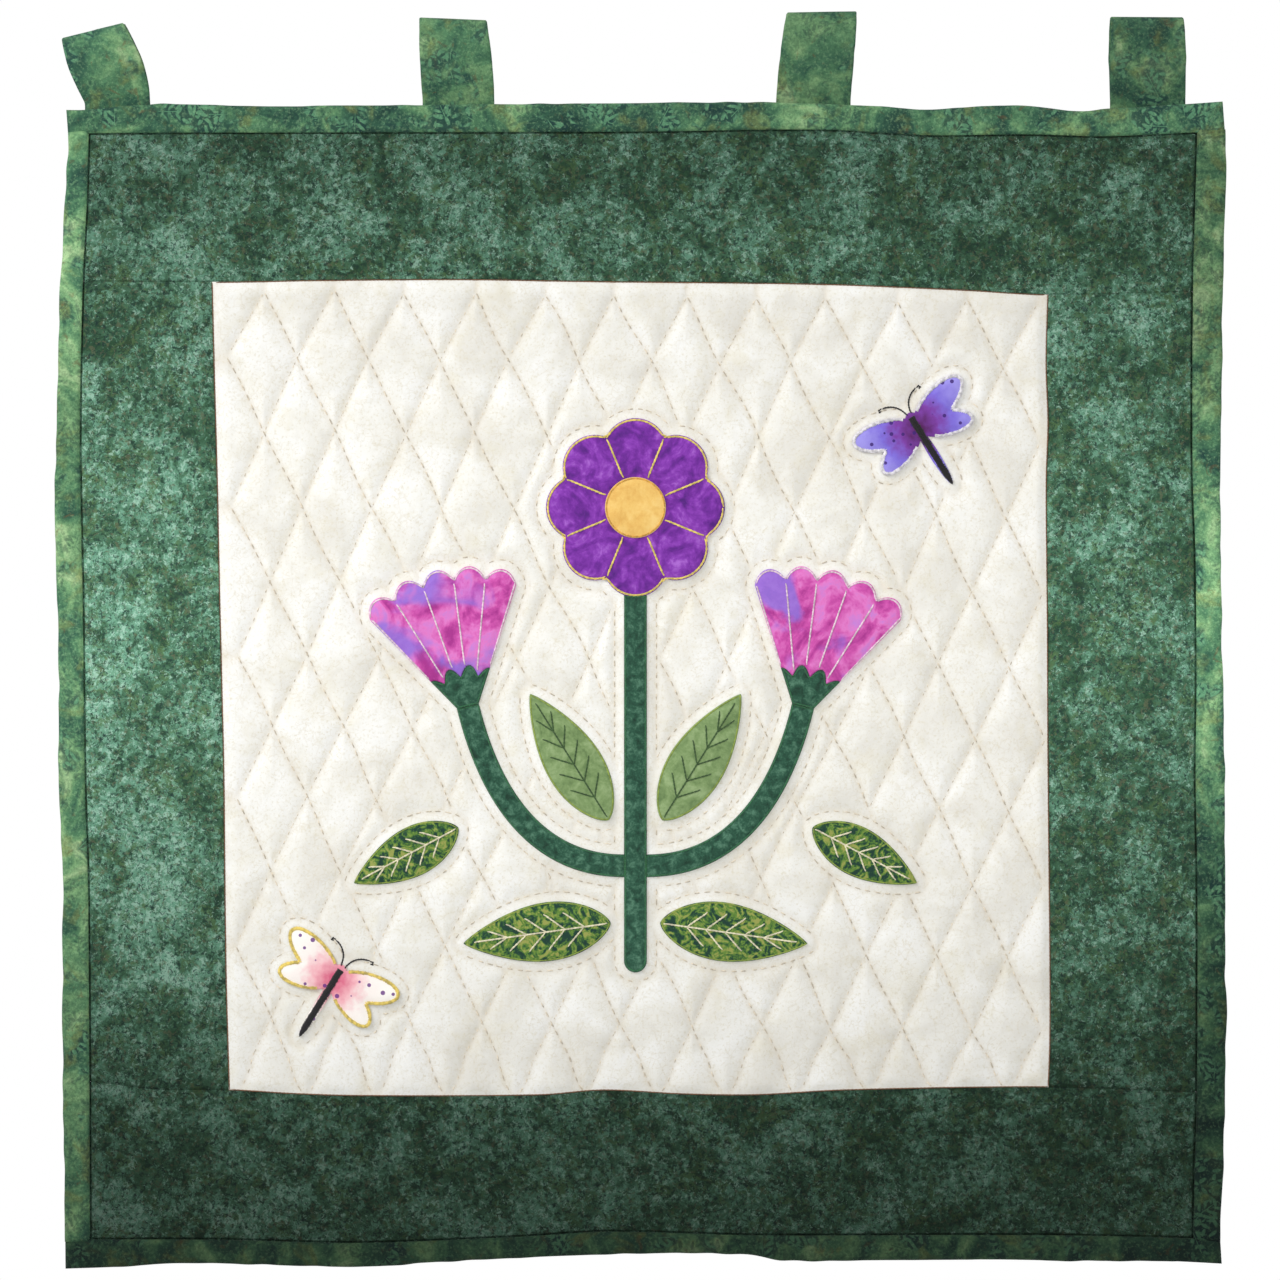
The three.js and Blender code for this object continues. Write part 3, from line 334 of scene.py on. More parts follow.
THREADS = {
    "quilting_thread": (232, 219, 196), "yellow_thread": (240, 214, 112), "cream_thread": (238, 230, 196),
    "pink_thread": (242, 214, 228), "green_thread": (44, 112, 68), "moss_thread": (150, 170, 70),
    "vein_thread": (60, 92, 44), "black_thread": (26, 22, 26), "white_thread": (240, 236, 240),
    "orange_thread": (236, 176, 70), "brown_thread": (122, 84, 54),
}

# The view: the frame is this wide at the sheet
VIEW_MIDDLE = (-1.6, 310.0)
VIEW_WIDTH = 672.6
CAMERA_DISTANCE = 3.2
SENSOR_WIDTH = 36
FLOOR_DROP = 950
FLOOR_RADIUS = 2.0  # metres
FLOOR_STOPS = ((0.3, (226, 226, 224)), (0.7, (232, 232, 230)))
WORLD_COLOUR = (0.97, 0.98, 1, 1)
WORLD_LIGHT = 0.64
LIT_PLACE = (0, 0, -0.31)
LAMPS = (("key", (-1.6, -1.5, 1.2), 0.9, 41), ("fill", (1.8, -2.2, 0.2), 1.6, 10))  # place, size, watts
RAY_START = 0.1  # metres


def smoothstep(value, low, high):
    t = np.clip((np.asarray(value, float) - low) / (high - low), 0, 1)
    return t * t * (3 - 2 * t)


def lerp(a, b, t):
    return a + (b - a) * t


def unit(vectors, least=1e-9):
    return vectors / (np.linalg.norm(vectors, axis=-1, keepdims=True) + least)


def left_of(ahead):
    """Directions turned to the left."""
    return np.stack([-ahead[..., 1], ahead[..., 0]], -1)


def through(table, at):
    """The value of a two-column table at a place, on a smooth curve."""
    keys, values = np.array(table, float).T
    at = np.asarray(at, float)
    last = len(keys) - 2
    i = np.clip(np.searchsorted(keys, at) - 1, 0, last)
    before_i, after_i = np.maximum(i - 1, 0), np.minimum(i + 2, last + 1)
    span = keys[i + 1] - keys[i]
    s = np.clip((at - keys[i]) / span, 0, 1)
    before = (values[i + 1] - values[before_i]) / (keys[i + 1] - keys[before_i]) * span
    after = (values[after_i] - values[i]) / (keys[after_i] - keys[i]) * span
    stay = (1 - s) ** 2
    return (
        stay * (1 + 2 * s) * values[i]
        + s * stay * before
        + s * s * (3 - 2 * s) * values[i + 1]
        - s * s * (1 - s) * after
    )


def ripple(x, y, size, seed):
    """Smooth random heights from -1 to 1, with bumps about size apart."""
    cells = np.random.default_rng(seed).uniform(-1, 1, (64, 64))
    across, down = np.asarray(x) / size + 640, np.asarray(y) / size + 640
    i, j = np.floor(across).astype(int), np.floor(down).astype(int)
    a, b = smoothstep(across - i, 0, 1), smoothstep(down - j, 0, 1)
    corner = lambda di, dj: cells[(i + di) % 64, (j + dj) % 64]
    return lerp(lerp(corner(0, 0), corner(1, 0), a), lerp(corner(0, 1), corner(1, 1), a), b)


def ripples(x, y, layers):
    return sum(height * ripple(x, y, size, seed) for height, size, seed in layers)


def fold_depth(x, drop):
    """How far the folds and creases bring the sheet forward."""
    depth = np.zeros(np.broadcast(x, drop).shape)
    for fold_x, fold_drop, turn, length, width, rise in FOLDS + CREASES:
        cos, sin = math.cos(math.radians(turn)), math.sin(math.radians(turn))
        right, up = x - fold_x, fold_drop - drop
        along, across = (right * cos + up * sin) / length, (up * cos - right * sin) / width
        depth += rise * np.exp(-along * along - across * across)
    return depth


def on_sheet(x, drop, forward):
    x, drop, forward = np.broadcast_arrays(x, drop, forward)
    return np.stack([x, SHEET_Y - fold_depth(x, drop) - forward, -drop], -1) / 1000


def placed(name, data):
    """A new object in the scene."""
    made = bpy.data.objects.new(name, data)
    bpy.context.scene.collection.objects.link(made)
    return made


class Shape:
    """Points and faces of a piece, gathered grid by grid."""

    def __init__(self):
        self.points = []
        self.faces = []
        self.count = 0
        # Painted shade along the quilting's valleys, kept for the material
        self.valley_shades = []  # a share from 0 to 1 for each point, for its material

    def grid(self, points, closed=False):
        rows, columns = points.shape[:2]
        at = self.count + np.arange(rows * columns).reshape(rows, columns)
        self.points.append(points.reshape(-1, 3))
        self.count += rows * columns
        ring = np.concatenate([at, at[:, :1]], 1) if closed else at
        corners = [ring[:-1, :-1], ring[1:, :-1], ring[1:, 1:], ring[:-1, 1:]]
        self.faces += np.stack(corners, -1).reshape(-1, 4).tolist()
        return at

    def wall(self, front, back):
        """Joins two rims; the back one may have half as many points."""
        front, back = front.tolist(), back.tolist()
        many = len(back)
        ratio = len(front) // many
        for i in range(many):
            here, after = back[i], back[(i + 1) % many]
            f = [front[(ratio * i + k) % len(front)] for k in range(ratio + 1)]
            if ratio == 1:
                self.faces.append([f[0], f[1], after, here])
            else:
                self.faces += [[f[0], f[1], here], [f[1], after, here], [f[1], f[2], after]]

    def sheet(self, front, back):
        """A thin closed sheet between a front and a back grid."""
        rims = []
        for points in (front, back):
            at = self.grid(points)
            rims.append(np.concatenate([at[0, :-1], at[:-1, -1], at[-1, :0:-1], at[:0:-1, 0]]))
        self.wall(*rims)

    def disc(self, front, back):
        """The same for rings of points round a middle one."""
        self.wall(*(self.grid(points, closed=True)[-1] for points in (front, back)))

    def loft(self, sections):
        """A solid through a row of closed sections, with flat ends."""
        at = self.grid(sections, closed=True)
        self.faces += [at[0].tolist(), at[-1].tolist()]

    def piece(self, name, material, slot, replaced=()):
        """Makes the mesh, with its faces turned out, and gives it its place and finish."""
        mesh = bpy.data.meshes.new(name)
        mesh.from_pydata(np.concatenate(self.points), [], self.faces)
        # The painted shade of the quilting's valleys goes to the material as a point attribute
        if self.valley_shades:
            valley_shade = mesh.attributes.new("valley_shade", "FLOAT", "POINT")
            valley_shade.data.foreach_set("value", np.concatenate(self.valley_shades))
        work = bmesh.new()
        work.from_mesh(mesh)
        bmesh.ops.remove_doubles(work, verts=work.verts, dist=2e-6)
        bmesh.ops.dissolve_degenerate(work, edges=work.edges, dist=1e-7)
        bmesh.ops.recalc_face_normals(work, faces=work.faces)
        work.to_mesh(mesh)
        work.free()
        mesh.shade_smooth()
        mesh.materials.append(material)
        made = placed(name, mesh)
        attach(made, "root")
        if replaced:
            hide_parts(*replaced)
        return made

    def tree(self):
        return BVHTree.FromPolygons(np.concatenate(self.points).tolist(), self.faces)


def joined(*shapes):
    """One shape that holds the faces of several."""
    whole = Shape()
    for shape in shapes:
        whole.points += shape.points
        whole.faces += [[corner + whole.count for corner in face] for face in shape.faces]
        whole.count += shape.count
    return whole


def surface_y(tree, x, drop, side=-1):
    """Y of the cloth's surface at places on the sheet, seen from the front (side -1) or back."""
    start, aim = side * RAY_START, Vector((0, -side, 0))
    found = np.empty(np.broadcast(x, drop).shape)
    for i, (at_x, at_drop) in enumerate(zip(np.ravel(x), np.ravel(drop))):
        hit = tree.ray_cast(Vector((at_x / 1000, start, -at_drop / 1000)), aim)[0]
        found.flat[i] = hit.y if hit else (SHEET_Y + side * STITCHED_HALF) / 1000
    return found


# Outlines of the applique

def polar(origin, angle, reach):
    angle = np.radians(angle)
    return np.stack([origin[0] + reach * np.cos(angle), origin[1] + reach * np.sin(angle)], -1)


def rosette_reach(angle):
    pitch = 360 / PETALS
    off = np.radians(angle + 90 - pitch * np.round((angle + 90) / pitch))
    return PETAL_OFFSET * np.cos(off) + np.sqrt(PETAL_RADIUS**2 - (PETAL_OFFSET * np.sin(off)) ** 2)


def insect_reach(angle):
    reach = np.zeros(np.shape(angle))
    for turn, lobe, half_width in LOBES:
        cos, sin = np.cos(np.radians(angle - turn)), np.sin(np.radians(angle - turn))
        half = lobe * LOBE_HALF_LENGTH
        offset = lobe - half
        a = (cos / half) ** 2 + (sin / half_width) ** 2
        b = -2 * cos * offset / half**2
        c = (offset / half) ** 2 - 1
        reach = np.maximum(reach, (-b + np.sqrt(b * b - 4 * a * c)) / (2 * a))
    return reach


def stem_line(t):
    """Places and unit directions along the right side stem."""
    p = np.array(SIDE_STEM, float)
    t = np.asarray(t, float)[..., None]
    at = (1 - t) ** 3 * p[0] + 3 * t * (1 - t) ** 2 * p[1] + 3 * t * t * (1 - t) * p[2] + t**3 * p[3]
    along = (1 - t) ** 2 * (p[1] - p[0]) + 2 * t * (1 - t) * (p[2] - p[1]) + t * t * (p[3] - p[2])
    return at, unit(along, 0)


def leaf_half(t, half):
    return half * np.sin(np.pi * np.clip(t, 0, 1) ** 0.8) ** 0.8


def calyx_foot(s):
    """The calyx reaches a little over the end of its stem."""
    return (CALYX_FOOT - FOOT_OVERLAP) / np.cos(np.radians(s * BLOOM_HALF_ANGLE))


def calyx_edge(s):
    return CALYX_REACH + SEPAL_DEPTH * np.abs(np.cos(SEPALS * np.pi * (s + 1) / 2))


def bloom_edge(s):
    scallop = np.abs(np.sin(SCALLOPS * np.pi * (s + 1) / 2)) ** 0.7
    return BLOOM_REACH - SCALLOP_DEPTH * (1 - scallop)


def mirrored(uv, side):
    return uv * np.array([side, 1])


def crowded(steps):
    """Shares from 0 to 1 that lie closer together at both ends."""
    return (1 - np.cos(np.pi * np.linspace(0, 1, steps + 1))) / 2


def leaf_name(i, side):
    return f"leaf_{2 * i + (1 if side < 0 else 2)}"


def leaf_place(t, s, side, leaf):
    u, v, aim, length, half = leaf
    along = polar((u, v), aim, length * t)
    across = s * leaf_half(t, half)
    sin, cos = math.sin(math.radians(aim)), math.cos(math.radians(aim))
    return mirrored(along + across[..., None] * np.array([sin, -cos]), side)


def stem_place(t, s, side):
    at, along = stem_line(t)
    return mirrored(at - (s * STEM_HALF)[..., None] * left_of(along), side)


def main_stem_place(v, s):
    into_end = np.clip(STEM_FOOT + STEM_HALF - v, 0, STEM_HALF) / STEM_HALF
    return np.stack([s * STEM_HALF * np.sqrt(1 - into_end**2), v], -1)


def fan_place(t, s, side, inner, outer):
    reach = lerp(inner(s), outer(s), t)
    middle = polar(SIDE_STEM[3], BLOOM_AIM, GAP - CALYX_FOOT)
    return mirrored(polar(middle, BLOOM_AIM - s * BLOOM_HALF_ANGLE, reach), side)


def applique_grids():
    """The applique pieces as grids of (u, v): name, grid, whether it is rings, slot."""
    pieces = []

    def add(name, slot, place, t, s, *rest):
        t, s = np.meshgrid(t, s, indexing="ij")
        pieces.append((name, place(t, s, *rest), False, slot))

    across = 2 * crowded(14) - 1
    stem_top = ROSETTE[1] - PETAL_OFFSET - PETAL_RADIUS + 1
    add("stem_main", "stem_green", main_stem_place, lerp(stem_top, STEM_FOOT, crowded(90)), across)
    for word, side in SIDES:
        add(f"stem_{word}", "stem_green", stem_place, np.linspace(1, -0.01, 70), side * across, side)
    for i, leaf in enumerate(LEAVES):
        slot = "light_leaf" if i == LIGHT_LEAF else "batik_leaf"
        for word, side in SIDES:
            add(leaf_name(i, side), slot, leaf_place, 1 - crowded(56), side * across, side, leaf)
    fans = (
        ("bloom", "pink_batik", 30, 90, calyx_edge, bloom_edge),
        ("calyx", "stem_green", 16, 48, calyx_foot, calyx_edge),
    )
    for word, side in SIDES:
        for kind, slot, long, wide, inner, outer in fans:
            t, s = 1 - crowded(long), side * (2 * crowded(wide) - 1)
            add(f"{kind}_{word}", slot, fan_place, t, s, side, inner, outer)
    share = np.sin(np.linspace(0, np.pi / 2, 20))
    share, angle = np.meshgrid(share, np.linspace(0, 360, 24 * PETALS, endpoint=False), indexing="ij")
    pieces.append(("rosette", polar(ROSETTE, angle, share * rosette_reach(angle)), True, "purple_batik"))
    for word, u, v, aim in INSECTS:
        slot = "violet_wings" if word == "upper" else "white_wings"
        uv = polar((u, v), angle + aim, share * insect_reach(angle))
        pieces.append((f"insect_{word}", uv, True, slot))
    return pieces


def dense(path, step=1.0, closed=False):
    """A path with points at most a step apart."""
    if closed:
        path = np.concatenate([path, path[:1]])
    parts = []
    for a, b in zip(path[:-1], path[1:]):
        many = max(1, math.ceil(np.linalg.norm(b - a) / step))
        parts.append(a + (b - a) * np.linspace(0, 1, many, endpoint=False)[:, None])
    return np.concatenate(parts + [path[-1:]])


def outline_of(uv, rings):
    if rings:
        return dense(uv[-1], closed=True)
    rim = [uv[0, :-1], uv[:-1, -1], uv[-1, :0:-1], uv[:0:-1, 0]]
    return dense(np.concatenate(rim), closed=True)


def outward(path, distance, reach):
    """A closed path moved out by a distance; its direction is taken over reach points each way."""
    left = unit(left_of(np.roll(path, -reach, 0) - np.roll(path, reach, 0)))
    area = (path[:, 0] * np.roll(path[:, 1], -1) - path[:, 1] * np.roll(path[:, 0], -1)).sum()
    return path - left * distance * (1 if area > 0 else -1)


def nearest_in(path):
    """A function that gives the distances from places to a path."""
    tree = KDTree(len(path))
    for i, point in enumerate(path):
        tree.insert((*point, 0), i)
    tree.balance()
    return lambda uv: np.array([tree.find((*p, 0))[2] for p in uv.reshape(-1, 2)]).reshape(uv.shape[:-1])


def is_inside(path, uv):
    """Whether places lie in a closed path, by counting the sides crossed on the way out."""
    inside = np.zeros(uv.shape[:-1], bool)
    near = ((uv >= path.min(0)) & (uv <= path.max(0))).all(-1)
    u, v = uv[near].T
    crossings = np.zeros(len(u), int)
    sparse = path[::3]
    for (u0, v0), (u1, v1) in zip(sparse, np.roll(sparse, -1, 0)):
        if v0 != v1:
            crossings += ((v0 > v) != (v1 > v)) & (u < (u1 - u0) * (v - v0) / (v1 - v0) + u0)
    inside[near] = crossings % 2 == 1
    return inside


APPLIQUE = applique_grids()
OUTLINES = {name: outline_of(uv, rings) for name, uv, rings, slot in APPLIQUE}
TO_OUTLINES = nearest_in(np.concatenate(list(OUTLINES.values())))


def to_applique(uv):
    """Distance to the nearest applique piece, negative where one covers the place."""
    covered = np.zeros(uv.shape[:-1], bool)
    for path in OUTLINES.values():
        covered |= is_inside(path, uv)
    return np.where(covered, -1, 1) * TO_OUTLINES(uv)


def design_uv(x, drop):
    return np.stack([x - DESIGN[0], DESIGN[1] - drop], -1)


# Quilting

def lattice_place(column, row):
    """x and drop of a place in the quilting's lattice. Columns under 0 and over the last reach out to
    the side seams, and rows under 0 up to the upper seam."""
    at_column, at_row = np.clip(column, 0, LATTICE_COLUMNS), np.clip(row, 0, LATTICE_ROWS)
    share = at_column / LATTICE_COLUMNS
    left, left_drop, right, right_drop = (
        through([(line[0], line[k]) for line in QUILT_ROWS], at_row) for k in range(1, 5)
    )
    x = lerp(left, right, share)
    drop = lerp(left_drop, right_drop, share)
    x = x + LATTICE_WOBBLE * np.sin(2.1 * at_column + 1.3 * at_row) * np.sin(np.pi * share)
    drop = drop + LATTICE_WOBBLE * np.sin(1.7 * at_column + 2.9 * at_row)
    to_top, to_foot = np.clip(-row, 0, 1), np.clip((row - LATTICE_ROWS + 0.5) * 2, 0, 1)
    drop = lerp(drop, through(UPPER_SEAM, x), to_top)
    drop = lerp(drop, through(LOWER_SEAM, x), to_foot)
    x = lerp(x, through(LEFT_SEAM, drop), np.clip(-column, 0, 1))
    x = lerp(x, through(RIGHT_SEAM, drop), np.clip(column - LATTICE_COLUMNS, 0, 1))
    return x, drop


def within(x, drop, frame_lines):
    """Upright and level distance to the nearest of four lines, positive inside them."""
    upper, lower, left, right = frame_lines
    upright = np.minimum(drop - through(upper, x), through(lower, x) - drop)
    return upright, np.minimum(x - through(left, drop), through(right, drop) - x)


def to_stitches(column, row, x, drop):
    """Distance to the nearest line of stitches."""
    column, row = np.clip(column, 0, LATTICE_COLUMNS), np.clip(row, 0, LATTICE_ROWS)
    from_line = lambda value: np.abs(value % 2 - 1)
    to_diamond = np.minimum(from_line(column + row), from_line(column - row)) * HALF_DIAMOND
    apart = to_applique(design_uv(x, drop))
    to_echo = np.abs(apart - ECHO)
    return np.where(apart > ECHO, np.minimum(to_diamond, to_echo), to_echo)


def lattice_steps(last, parts, before, after):
    return np.concatenate([
        np.linspace(-1, 0, parts // 4, endpoint=False) if before else [],
        np.linspace(0, last, last * parts + 1),
        np.linspace(last, last + 1, parts // 4 + 1)[1:] if after else [],
    ])


def panel_shape():
    shape = Shape()
    faces = []
    for side, puff, parts in ((1, FRONT_PUFF, 16), (-1, BACK_PUFF, 8)):
        columns = lattice_steps(LATTICE_COLUMNS, parts, True, True)
        rows = lattice_steps(LATTICE_ROWS, parts, True, False)
        row, column = np.meshgrid(rows, columns, indexing="ij")
        x, drop = lattice_place(column, row)
        to_line = to_stitches(column, row, x, drop)
        puffed = 1 - (1 - np.clip(to_line / HALF_DIAMOND, 0, 1)) ** PUFF_ROUNDNESS
        puffed = puffed * smoothstep(np.minimum(*within(x, drop, SEAMS)), *PANEL_RISE)
        # Painted shade along the lines of stitches, strongest in their valleys
        shape.valley_shades.append(np.exp(-((to_line / VALLEY_SHADE_WIDTH) ** 2)).ravel())
        half = STITCHED_HALF + (puff + ripples(x, drop, PANEL_RIPPLES)) * puffed
        faces.append(on_sheet(x, drop, side * half))
    shape.sheet(*faces)
    return shape


def along(path, distances):
    """Places at distances along a path."""
    run = np.concatenate([[0], np.cumsum(np.linalg.norm(np.diff(path, axis=0), axis=1))])
    return np.stack([np.interp(distances, run, path[:, k]) for k in (0, 1)], -1)


def length_of(path):
    return np.linalg.norm(np.diff(path, axis=0), axis=1).sum()


def runs_of(path, keep):
    """The stretches of a path whose points are kept."""
    edges = np.flatnonzero(np.diff(np.concatenate([[0], keep.astype(int), [0]])))
    return [path[a:b] for a, b in zip(edges[::2], edges[1::2]) if b - a > SHORTEST_RUN]


def quilting_lines():
    """Paths of the quilting in u and v: the diamonds, then the echo round the applique."""
    paths = []
    row = np.linspace(0, LATTICE_ROWS, 40 * LATTICE_ROWS + 1)
    for slant in (-1, 1):
        for start in range(1 - 2 * LATTICE_ROWS, LATTICE_COLUMNS + 2 * LATTICE_ROWS, 2):
            column = start + slant * row
            x, drop = lattice_place(column, row)
            uv = design_uv(x, drop)
            keep = (column >= 0) & (column <= LATTICE_COLUMNS)
            if keep.any():
                keep &= to_applique(uv) > ECHO + DIAMOND_STOP
                paths += runs_of(uv, keep)
    for path in OUTLINES.values():
        echo = outward(path, ECHO, 3)
        paths += runs_of(echo, to_applique(echo) > ECHO - ECHO_SLACK)
    return paths


def seam_lines():
    """Paths in u and v just inside the four seams of the panel."""
    share = np.linspace(0, 1, 440)
    paths = []
    for table, way in ((UPPER_SEAM, 1), (LOWER_SEAM, -1)):
        x = lerp(through(LEFT_SEAM, table[1][1]), through(RIGHT_SEAM, table[-2][1]), share)
        paths.append(design_uv(x, through(table, x) + way * SEAM_THREAD_INSET))
    for table, way in ((LEFT_SEAM, 1), (RIGHT_SEAM, -1)):
        x = through(table, PANEL_MIDDLE_DROP)
        drop = lerp(through(UPPER_SEAM, x), through(LOWER_SEAM, x), share)
        paths.append(design_uv(through(table, drop) + way * SEAM_THREAD_INSET, drop))
    return paths


def strokes(starts, ends, radius, sides=6, side=-1, lift=0.35):
    """Short lengths of thread from start to end points, arched over the cloth, ends sunk in it."""
    out = np.array([0, side, 0.0])
    across = unit(np.cross(unit(ends - starts, 1e-12), out), 1e-12)
    shares = np.array([0, 0.14, 0.5, 0.86, 1])
    widths = np.array([0.4, 0.92, 1, 0.92, 0.4])
    heights = np.array([-0.7, lift * 0.6, lift, lift * 0.6, -0.7]) * radius
    turns = np.radians(np.arange(sides) * 360 / sides)
    middle = starts[:, None] + (ends - starts)[:, None] * shares[:, None] + out * heights[:, None]
    ring = across[:, None, None] * np.cos(turns)[:, None] + out * np.sin(turns)[:, None]
    points = middle[:, :, None] + ring * (radius * widths)[:, None, None]
    many, rings = points.shape[:2]
    at = np.arange(many * rings * sides).reshape(many, rings, sides)
    after = np.roll(at, -1, 2)
    corners = [at[:, :-1], at[:, 1:], after[:, 1:], after[:, :-1]]
    shape = Shape()
    shape.points.append(points.reshape(-1, 3))
    shape.count = at.size
    shape.faces += np.stack(corners, -1).reshape(-1, 4).tolist()
    shape.faces += at[:, 0].tolist() + at[:, -1].tolist()
    return shape


def on_cloth(tree, uv, side=-1):
    x, drop = uv[..., 0] + DESIGN[0], DESIGN[1] - uv[..., 1]
    return np.stack([x / 1000, surface_y(tree, x, drop, side), -drop / 1000], -1)


def laid_stitches(tree, starts, ends, radius, sides=6, side=-1):
    """Stitches on the cloth, from lists of their starts and ends in u and v."""
    starts, ends = (on_cloth(tree, np.concatenate(points), side) for points in (starts, ends))
    return strokes(starts, ends, radius / 1000, sides, side)


def running_stitches(tree, paths, side, first):
    """Running stitches along each path; first is the share of a pitch before the first one."""
    random = np.random.default_rng(11)
    starts, ends = [], []
    for path in paths:
        many = int(length_of(path) / STITCH_PITCH)
        begin = (np.arange(many) + first + random.uniform(-STITCH_SHIFT, STITCH_SHIFT, many)) * STITCH_PITCH
        length = STITCH_LENGTH * random.uniform(*STITCH_LENGTHS, many)
        starts.append(along(path, begin))
        ends.append(along(path, begin + length))
    return laid_stitches(tree, starts, ends, QUILTING_THREAD, 5, side)


def stem_stitch(tree, paths, radius, length):
    """Overlapping slanted stitches that make a line like a rope."""
    starts, ends = [], []
    for path in paths:
        many = max(2, int(2 * length_of(path) / length) - 1)
        step = (length_of(path) - length) / (many - 1)
        begin = np.arange(many) * step
        a, b = along(path, begin), along(path, begin + length)
        aside = left_of(unit(b - a)) * radius * STITCH_SLANT
        starts.append(a - aside)
        ends.append(b + aside)
    return laid_stitches(tree, starts, ends, radius)


def satin_stitch(tree, path, inner, outer, radius=FINE_THREAD, taper=0.01):
    """Stitches side by side across a path, from inner on its left to outer on its right. They grow
    shorter over the last part of the path, taper long."""
    many = int(length_of(path) / SATIN_PITCH)
    distances = np.linspace(0.1, length_of(path) - 0.1, many)
    short = np.sqrt(1 - np.clip(1 - (length_of(path) - distances) / taper, 0, 1) ** 2)
    at = along(path, distances)
    left = left_of(unit(along(path, distances + 0.4) - along(path, distances - 0.4)))
    random = np.random.default_rng(5)
    a = on_cloth(tree, at + left * (short * (inner + random.uniform(-0.25, 0.25, many)))[:, None])
    b = on_cloth(tree, at - left * (short * (outer + random.uniform(-0.15, 0.15, many)))[:, None])
    # No end drops far behind the cloth that the stitch crosses
    highest = np.minimum(np.minimum(a[:, 1], b[:, 1]), on_cloth(tree, at)[:, 1])
    for end in (a, b):
        end[:, 1] = np.minimum(end[:, 1], highest + STITCH_DROP / 1000)
    return strokes(a, b, radius / 1000, lift=1.0)


# Cloth pieces

def border_half(x, drop):
    """Half thickness of the border: flat under the binding and at the seams, full between them."""
    free = smoothstep(np.minimum(*within(x, drop, LINES)), *BORDER_RISE)
    full = lerp(HEM_HALF, BORDER_HALF, free)
    over, beside = (-inside for inside in within(x, drop, SEAMS))
    to_panel = np.hypot(np.maximum(over, 0), np.maximum(beside, 0))
    half = lerp(np.minimum(SEAM_HALF, full), full, smoothstep(to_panel, *SEAM_RISE))
    strip_seam = np.exp(-((over / STRIP_SEAM_WIDTH) ** 2)) * smoothstep(beside, *STRIP_SEAM_START)
    return half - STRIP_SEAM_DEPTH * strip_seam + ripples(x, drop, BORDER_RIPPLES) * free


def ditch_depth(x, drop):
    """Depth of the narrow groove in the border's face beside the binding: deep at the sides."""
    below, beside = within(x, drop, LINES)
    groove = lambda distance: np.exp(-np.abs((distance - DITCH_MIDDLE) / DITCH_HALF) ** 3)
    sides = SIDE_DITCH * groove(beside) * (below > 0)
    return np.maximum(sides, TOP_DITCH * groove(below) * (beside > 0))


def between(at, edge, line, seam):
    return np.where(at < 1, lerp(edge, line, at), lerp(line, seam, at - 1))


def strip_shape(place, along_strip):
    """A border strip; place gives x and drop at a place across it and a share along it."""
    across, share = np.meshgrid(ACROSS_STRIP, np.linspace(0, 1, along_strip + 1), indexing="ij")
    x, drop = place(across, share)
    half = border_half(x, drop)
    shape = Shape()
    back = on_sheet(x, drop, -half)[::2, ::2]  # nothing fine shows behind
    shape.sheet(on_sheet(x, drop, half - ditch_depth(x, drop)), back)
    return shape


def stations_across(edge, line, seam, inward, at):
    """The raw edge, the binding's edge and the seam of a strip, at places along it."""
    return through(edge, at) + inward * HEM_INSET, through(line, at), through(seam, at) - inward * SEAM_INSET


def wide_place(edge, line, seam, down):
    """The places of the top or bottom border strip, which runs the full width."""
    def place(across, share):
        # The grid is closer at both ends, where it crosses the side bindings' edges
        share = share - END_CROWDING * np.sin(2 * np.pi * share) / (2 * np.pi)
        drop = through(line, 0.0)
        for _ in range(PLACE_ROUNDS):
            left, right = through(LEFT_EDGE, drop) + HEM_INSET, through(RIGHT_EDGE, drop) - HEM_INSET
            x = lerp(left, right, share)
            drop = between(across, *stations_across(edge, line, seam, down, x))
        return x, drop
    return place


def side_place(edge, line, seam, inward):
    """The places of a side border strip, which stands between the other two."""
    def place(across, share):
        drop = lerp(*SIDE_STRIP_DROPS, share)
        for _ in range(PLACE_ROUNDS):
            x = between(across, *stations_across(edge, line, seam, inward, drop))
            drop = lerp(through(UPPER_SEAM, x), through(LOWER_SEAM, x), share)
        return x, drop
    return place


def binding_shape(cloth, place):
    """A strip folded round the raw edge. At a share of its length, place gives its reach from the edge, how
    to lay a point, and how loose its fold and its sewn edge are."""
    inside = HEM_HALF + GAP
    outside = inside + cloth
    arc = np.radians(np.linspace(0, 180, 13))
    fold_depths, fold_heights = outside * (1 - np.sin(arc)), outside * np.cos(arc)
    sections = []
    for share in np.linspace(0, 1, BINDING_STATIONS):
        reach, lay, fold_looseness, edge_looseness = place(share)
        swing = 1 + BINDING_SWING * fold_looseness
        flats = reach - (reach - outside) * BINDING_FLATS
        from_sewn = reach - flats
        drawn = SEWN_EDGE_DROP * (1 - smoothstep(from_sewn, 0, SEWN_EDGE_WIDTH))
        top = outside * swing - drawn - BINDING_SINK
        ripple_share = np.exp(-((from_sewn - EDGE_RIPPLE_WIDTH) / EDGE_RIPPLE_WIDTH) ** 2)
        top += EDGE_RIPPLE * edge_looseness * ripple_share
        lip = reach - BINDING_LIP
        depth = np.concatenate([
            flats, fold_depths, flats[::-1], [lip, BINDING_CAVITY, BINDING_CAVITY, lip],
        ])
        cavity = inside * np.array([-LIP_SHARE, -1, 1, LIP_SHARE])
        forward = np.concatenate([top, fold_heights * swing, -top[::-1], cavity])
        sections.append(lay(depth, forward))
    shape = Shape()
    shape.loft(np.array(sections))
    return shape


def looseness(at, seed):
    """How loose a binding's fold and sewn edge are."""
    return ripple(at, 0, 17, seed + 1), ripple(at, 0, 5.5, seed + 2)


